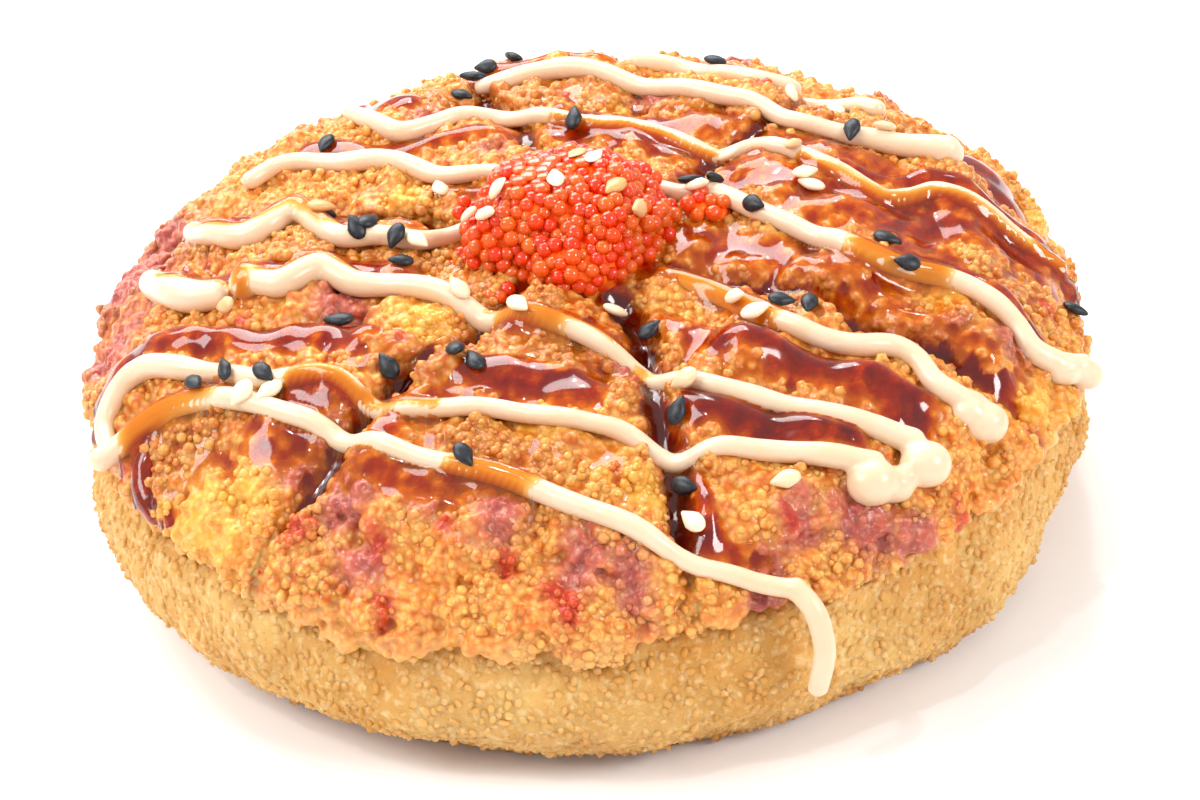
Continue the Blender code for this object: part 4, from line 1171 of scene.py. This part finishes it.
def crumb_colour(tree, *last):
    """Golden to orange-brown fried batter, dusky pink where it is tuna, darker where sauce soaked in; with painted
    highlights on the grains' tops, painted shade in the hollows and knife cuts, and paler batter low on the rim that
    is partly painted light.
    """
    flesh = coats(tree, "#96383E", (swell(tree, 2.4), "#BC6052"), (swell(tree, 0.6, 0.54, 0.72, 0.6), "#E2A898"))
    return coats(
        tree, "#BC5A12", (("tone", 1.0), "#D47A26"), (("gold", 0.9), "#E8A434"),
        (swell(tree, 2.6, 0.46, 0.72, 0.5), "#B04E14"), (swell(tree, 1.1, 0.52, 0.74, 0.5), "#EEB45E"),
        # painted light and shade: each grain's top painted pale gold, the gaps between grains left darker
        (beaded(tree, 0.9, 0.8), "#F4C064"), (("tuna", 0.9), flesh), (("red", 0.85), "#B81E08"),
        # painted shade, dark red-brown, in the hollows and knife cuts; the paler batter low on the rim is partly
        # painted light in the crease under it
        (("soaked", 0.45), "#94400E"), (("pale", 0.8), "#E0A860"), (("hollow", 0.65), "#86300C"), *last)


def rice_colour(tree):
    """Pale gold rice, mottled and browner along its low edge."""
    return coats(tree, "#C68A3C", (("tone", 1.0), "#DCAE66"), (swell(tree, 2.6, 0.5, 0.75, 0.4), "#C08232"),
                 (swell(tree, 1.0, 0.5, 0.75, 0.6), "#EED29C"), (("browned", 0.85), "#A0622A"))


def make_finishes():
    """A material for each real finish."""
    made = {}

    # Tempura crumb over chopped raw tuna: moist, granular, and lit from inside like amber
    made["bed"], tree, surface = new_finish("fried_crumb_on_tuna", (1.0, 0.42, 0.12), Roughness=0.36,
                                            Subsurface_Weight=0.7, Subsurface_Scale=0.0017,
                                            Specular_IOR_Level=0.25, Coat_Weight=0.35, Coat_Roughness=0.07)
    tree.links.new(crumb_colour(tree), surface.inputs["Base Color"])
    wet = add(tree, "ShaderNodeMapRange", {"Value": painted(tree, "soaked"), "To Min": 0.4, "To Max": 0.2})
    tree.links.new(wet.outputs[0], surface.inputs["Roughness"])
    bumped(tree, surface, 0.9, 0.8, 0.3, beaded(tree, 0.9))

    # Single fried crumbs: amber beads that light passes into, their skin blistered
    made["crumbs"], tree, surface = new_finish("fried_crumbs", (1.0, 0.45, 0.15), Roughness=0.34,
                                               Subsurface_Weight=0.15, Subsurface_Scale=0.0008,
                                               Specular_IOR_Level=0.25, Coat_Weight=0.35, Coat_Roughness=0.07)
    pale = add(tree, "ShaderNodeMapRange", {"Value": painted(tree, "shade"), "From Min": 0.4, "From Max": 1.0,
                                            "To Max": 0.4})
    tree.links.new(crumb_colour(tree, (pale.outputs[0], "#F0B860")), surface.inputs["Base Color"])

    # Fried rice and batter: dry, pale gold and fluffy, browner towards its bottom
    made["rice"], tree, surface = new_finish("fried_rice_crust", (1.0, 0.6, 0.25), Roughness=0.55,
                                             Subsurface_Weight=0.65, Subsurface_Scale=0.003,
                                             Specular_IOR_Level=0.25)
    tree.links.new(rice_colour(tree), surface.inputs["Base Color"])
    bumped(tree, surface, 0.6, 0.8, 0.3)

    # Its loose crumb: the same, but too small for light to wander in
    made["rice_crumb"], tree, surface = new_finish("fried_rice_crumb", Roughness=0.5, Specular_IOR_Level=0.25)
    tree.links.new(rice_colour(tree), surface.inputs["Base Color"])

    # Mayonnaise: an oil emulsion, smooth, creamy and softly shining
    made["mayonnaise"], tree, surface = new_finish("mayonnaise", (1.0, 0.72, 0.5), Roughness=0.34,
                                                   Subsurface_Weight=0.35, Subsurface_Scale=0.0014,
                                                   Coat_Weight=0.2, Coat_Roughness=0.12)
    tree.links.new(coats(tree, "#E3CAAE", (swell(tree, 6.0), "#DCC09E")), surface.inputs["Base Color"])

    # Eel sauce: a soy and sugar glaze, see-through amber where thin and nearly black-red where it pools
    made["sauce"], tree, surface = new_finish("eel_sauce_glaze", Roughness=0.12, IOR=1.48)
    depth = painted(tree, "depth")
    thick = add(tree, "ShaderNodeMapRange", {"Value": depth, "From Min": 0.0, "From Max": 2.2})
    body = add(tree, "ShaderNodeValToRGB", {"Fac": thick.outputs[0]})
    stops = body.color_ramp.elements
    stops[0].position, stops[0].color = 0.0, ink("#F4A83A")
    stops[1].position, stops[1].color = 1.0, ink("#560E05")
    for place, code in ((0.12, "#E88A1C"), (0.35, "#A43A0A"), (0.65, "#761808")):
        stops.new(place).color = ink(code)
    tree.links.new(body.outputs["Color"], surface.inputs["Base Color"])
    # what 1 mm of it lets through, each way
    passed = add(tree, "ShaderNodeCombineColor", {
        part: add(tree, "ShaderNodeMath", {0: through, 1: depth}, operation="POWER", use_clamp=True).outputs[0]
        for part, through in (("Red", 0.70), ("Green", 0.20), ("Blue", 0.006))})
    clear = add(tree, "ShaderNodeBsdfTransparent", {"Color": passed.outputs[0]})
    cover = add(tree, "ShaderNodeMapRange", {"Value": depth, "From Min": 0.0, "From Max": 2.2,
                                             "To Min": 0.10, "To Max": 0.6})
    both = add(tree, "ShaderNodeMixShader", {0: cover.outputs[0], 1: clear.outputs[0], 2: surface.outputs[0]})
    gloss = add(tree, "ShaderNodeBsdfGlossy", {"Roughness": 0.05})
    edge_on = add(tree, "ShaderNodeFresnel", {"IOR": 1.48})
    # light on its way out of the sauce isn't held back, or all that lies under it would go dull
    inside = add(tree, "ShaderNodeNewGeometry").outputs["Backfacing"]
    shine = add(tree, "ShaderNodeMix", {"Factor": inside, "A": edge_on.outputs[0], "B": 0.0})
    skin = add(tree, "ShaderNodeMixShader", {0: shine.outputs[0], 1: both.outputs[0], 2: gloss.outputs[0]})
    tree.links.new(skin.outputs[0], tree.nodes["Material Output"].inputs["Surface"])

    # Flying-fish roe: taut, wet, see-through skins round orange yolk
    made["roe"], tree, surface = new_finish("flying_fish_roe", (1.0, 0.3, 0.06), Roughness=0.04,
                                            Subsurface_Weight=0.3, Subsurface_Scale=0.0015,
                                            Transmission_Weight=0.38, Coat_Weight=0.6, Coat_Roughness=0.03,
                                            IOR=1.36)
    tree.links.new(coats(tree, "#FF3806", (("shade", 1.0), "#FF761A")), surface.inputs["Base Color"])

    # The mound under the roe, seen only as glowing orange-red depth between the eggs
    made["roe_core"], tree, surface = new_finish("roe_depths", Roughness=0.25, Specular_IOR_Level=0.2)
    tree.links.new(coats(tree, "#F23A08", (swell(tree, 1.2), "#FF7A1E")), surface.inputs["Base Color"])

    # Black sesame: a dry matt seed coat with a faint blue bloom
    made["black_sesame"], tree, surface = new_finish("black_sesame", Roughness=0.42, Specular_IOR_Level=0.4)
    tree.links.new(coats(tree, "#101216", (swell(tree, 0.6), "#2A2F36")), surface.inputs["Base Color"])
    bumped(tree, surface, 0.25, 0.5, 0.05)

    # White sesame: hulled, ivory, a few toasted tan
    made["white_sesame"], tree, surface = new_finish("white_sesame", (1.0, 0.7, 0.4), Roughness=0.35,
                                                     Subsurface_Weight=0.3, Subsurface_Scale=0.001)
    toasted = add(tree, "ShaderNodeMapRange", {"Value": painted(tree, "shade"), "From Min": 0.6, "From Max": 0.95})
    tree.links.new(coats(tree, "#F0DDBE", (toasted.outputs[0], "#D39A52")), surface.inputs["Base Color"])
    bumped(tree, surface, 0.4, 0.2, 0.04)

    # The table: plain matt white card
    made["floor"], tree, surface = new_finish("white_card", Roughness=0.8, Specular_IOR_Level=0.2)
    tree.links.new(coats(tree, "#F7F7F7", (swell(tree, 60.0), "#F3F3F3")), surface.inputs["Base Color"])
    return made


# ---- light and camera ------------------------------------------------------------------

def make_stage(finishes):
    """A white table under white light from all round, soft lamps, and two small ones for sparks in the gloss."""
    far = 3000
    floor = mesh_piece("floor", ((-far, -far, 0), (far, -far, 0), (far, far, 0), (-far, far, 0)), [(0, 1, 2, 3)])
    floor.data.materials.append(finishes["floor"])
    world = bpy.data.worlds.new("studio")
    bpy.context.scene.world = world
    world.use_nodes = True
    sky = world.node_tree.nodes["Background"].inputs
    sky["Color"].default_value = (1.0, 1.0, 1.0, 1.0)
    sky["Strength"].default_value = 0.66
    # name, place and side in metres, and watts
    for name, place, size, power in (
        ("window_back", (-0.20, 0.55, 0.60), 0.75, 9.0),
        ("softbox_left", (-0.60, -0.15, 0.60), 0.45, 4.0),
        ("softbox_right", (0.55, -0.35, 0.50), 0.30, 3.6),
        ("spark_left", (-0.35, -0.30, 0.80), 0.03, 0.9),
        ("spark_back", (0.10, 0.60, 0.75), 0.03, 0.9),
    ):
        data = bpy.data.lights.new(name, "AREA")
        data.shape = "RECTANGLE"
        data.size = size
        data.size_y = size * 0.7
        data.energy = power
        lamp = show(name, data)
        lamp.location = place
        lamp.rotation_euler = Vector(place).to_track_quat("Z", "Y").to_euler()
    view = bpy.context.scene.view_settings
    view.view_transform = "Standard"
    view.look = "None"


def make_camera():
    """The photograph's view: 35 degrees above the table, tipped a little to the right."""
    elevation = math.radians(35.0)
    roll = math.radians(4.5)
    distance = 0.380
    target = Vector((0.001, 0.0, 0.0105))
    # the photograph shows 8.4 pixels for 1 mm at that distance, and is 1200 across
    pixels_per_unit = 8.4 * 380.0
    back = Vector((0.0, -math.cos(elevation), math.sin(elevation)))
    right = Vector((1.0, 0.0, 0.0))
    up = back.cross(right)
    side = right * math.cos(roll) - up * math.sin(roll)
    above = right * math.sin(roll) + up * math.cos(roll)
    data = bpy.data.cameras.new("camera")
    data.sensor_width = 36.0
    data.lens = pixels_per_unit * 36.0 / 1200.0
    data.clip_start = 0.01
    camera = show("camera", data)
    turn = Matrix((side, above, back)).transposed().to_4x4()
    camera.matrix_world = Matrix.Translation(target + back * distance) @ turn
    bpy.context.scene.camera = camera


# ---- the whole -------------------------------------------------------------------------

def make_crumbed_bed(bare, scattering, finish, lump, crumb):
    """The bare dome with lumps and crumbs of three sizes stuck on it, as one skin."""
    grown = [bare]
    for spacing, smallest, largest, lift, spread, knobbly, seed, shape in (
        (3.4, 1.8, 3.0, -0.45, 0.4, 1.0, 5, lump),
        (1.5, 1.3, 2.1, -0.05, 0.35, 0.25, 9, crumb),
        (1.05, 1.0, 1.5, 0.12, 0.30, 0.15, 11, crumb),
    ):
        grown.append(scatter("crumbs", scattering, bare, shape, finish, Spacing=spacing, Smallest=smallest,
                             Largest=largest, Lift=lift, Depth_spread=spread, Knobbly=knobbly,
                             Knob_size=0.5 * largest, Seed=seed))
    bed = fused("tuna_bed", grown, 0.31, 1)
    removed(grown)
    return bed


def make_loose_crumbs(bed, cake, scattering, finishes, bead, flake):
    """Single crumbs half sunk in the bed, and flakes of crust all over the side of the cake."""
    beads = scatter("crumb_beads", scattering, bed, bead, finishes["crumbs"], Spacing=1.2, Smallest=1.0, Largest=1.6,
                    Lift=-0.22, Depth_spread=0.15, Knobbly=0.15, Knob_size=0.8, Seed=12)
    fine = scatter("fine_crumbs", scattering, bed, bead, finishes["crumbs"], Spacing=1.1, Smallest=0.5, Largest=0.9,
                   Lift=-0.05, Depth_spread=0.10, Knobbly=0.08, Knob_size=0.5, Seed=13)
    crust = scatter("crust_flakes", scattering, cake, flake, finishes["rice_crumb"], Spacing=0.85, Smallest=0.7,
                    Largest=1.3, Lift=-0.23, Depth_spread=0.10, Knobbly=0.12, Knob_size=0.7, Seed=17)
    return beads, fine, crust


def make_sauces(ground, soft_ground, finishes):
    """The piped mayonnaise, the sauce poured over it, and its drips."""
    piping = piping_tree()
    mayonnaise = piped("mayonnaise", mayonnaise_strings(soft_ground), piping, finishes["mayonnaise"], 0.33, 4)
    mayo_map = height_map(surface_of(mayonnaise), -50.0)
    sauce = make_sauce(ground, mayo_map, finishes["sauce"])
    drips = piped("eel_sauce_drips", SAUCE_DRIPS, piping, finishes["sauce"], 0.3, 5)
    paint(drips, {"depth": [1.0] * len(drips.data.vertices)})
    return mayonnaise, sauce, drips


def make_roe(soft_ground, scattering, finishes, egg):
    """The heap: a core, and eggs at true size over it."""
    core = make_roe_core(soft_ground)
    roe = scatter("roe", scattering, core, egg, finishes["roe"], Spacing=1.12, Smallest=1.5, Largest=2.1,
                  Lift=0.25, Depth_spread=0.4, Seed=21)
    core.data.materials.append(finishes["roe_core"])
    return core, roe


def make_seeds(below, finishes, sesame):
    """The black and the white sesame, dropped on all the rest."""
    placing = placing_tree()
    soft_below = softened(height_map(below), 0.9)
    return [sown(name, placing, sesame, finishes[name], places, below, soft_below, seed)
            for name, places, seed in (("black_sesame", BLACK_SEEDS, 31), ("white_sesame", WHITE_SEEDS, 33))]


def main():
    make_camera()
    finishes = make_finishes()
    make_stage(finishes)

    cake = make_rice_cake()
    cake.data.materials.append(finishes["rice"])
    bare = make_bed()

    scattering = scatter_tree()
    lump = small_shape("lump_shape", 2)
    crumb = small_shape("crumb_shape", 1)
    bead = small_shape("bead_shape", 0)
    flake = small_shape("flake_shape", 0, (1.3, 1.0, 0.7))
    bed = make_crumbed_bed(bare, scattering, finishes["crumbs"], lump, crumb)
    ground = height_map(surface_of(bed))
    soft_ground = softened(ground, 1.3)
    paint(bed, bed_values(points_of(bed.data), soft_ground))
    beads, fine, crust = make_loose_crumbs(bed, cake, scattering, finishes, bead, flake)
    slices = slices_of(bed, finishes["bed"])

    mayonnaise, sauce, drips = make_sauces(ground, soft_ground, finishes)
    egg = small_shape("egg_shape", 2)
    core, roe = make_roe(soft_ground, scattering, finishes, egg)
    sesame = sesame_shape()
    seeds = make_seeds(surface_of(*slices, mayonnaise, sauce, roe), finishes, sesame)
    removed((lump, crumb, bead, flake, egg, sesame))

    for slot, node, items in (
        ("fried_rice", "rice_base", (cake, crust)),
        ("crumbed_tuna", "tuna_topping", (*slices, beads, fine, mayonnaise, sauce, drips, *seeds)),
        ("roe", "tobiko_heap", (core, roe)),
    ):
        for item in items:
            held_in(item)
            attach(item, "root")
            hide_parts(node)


main()
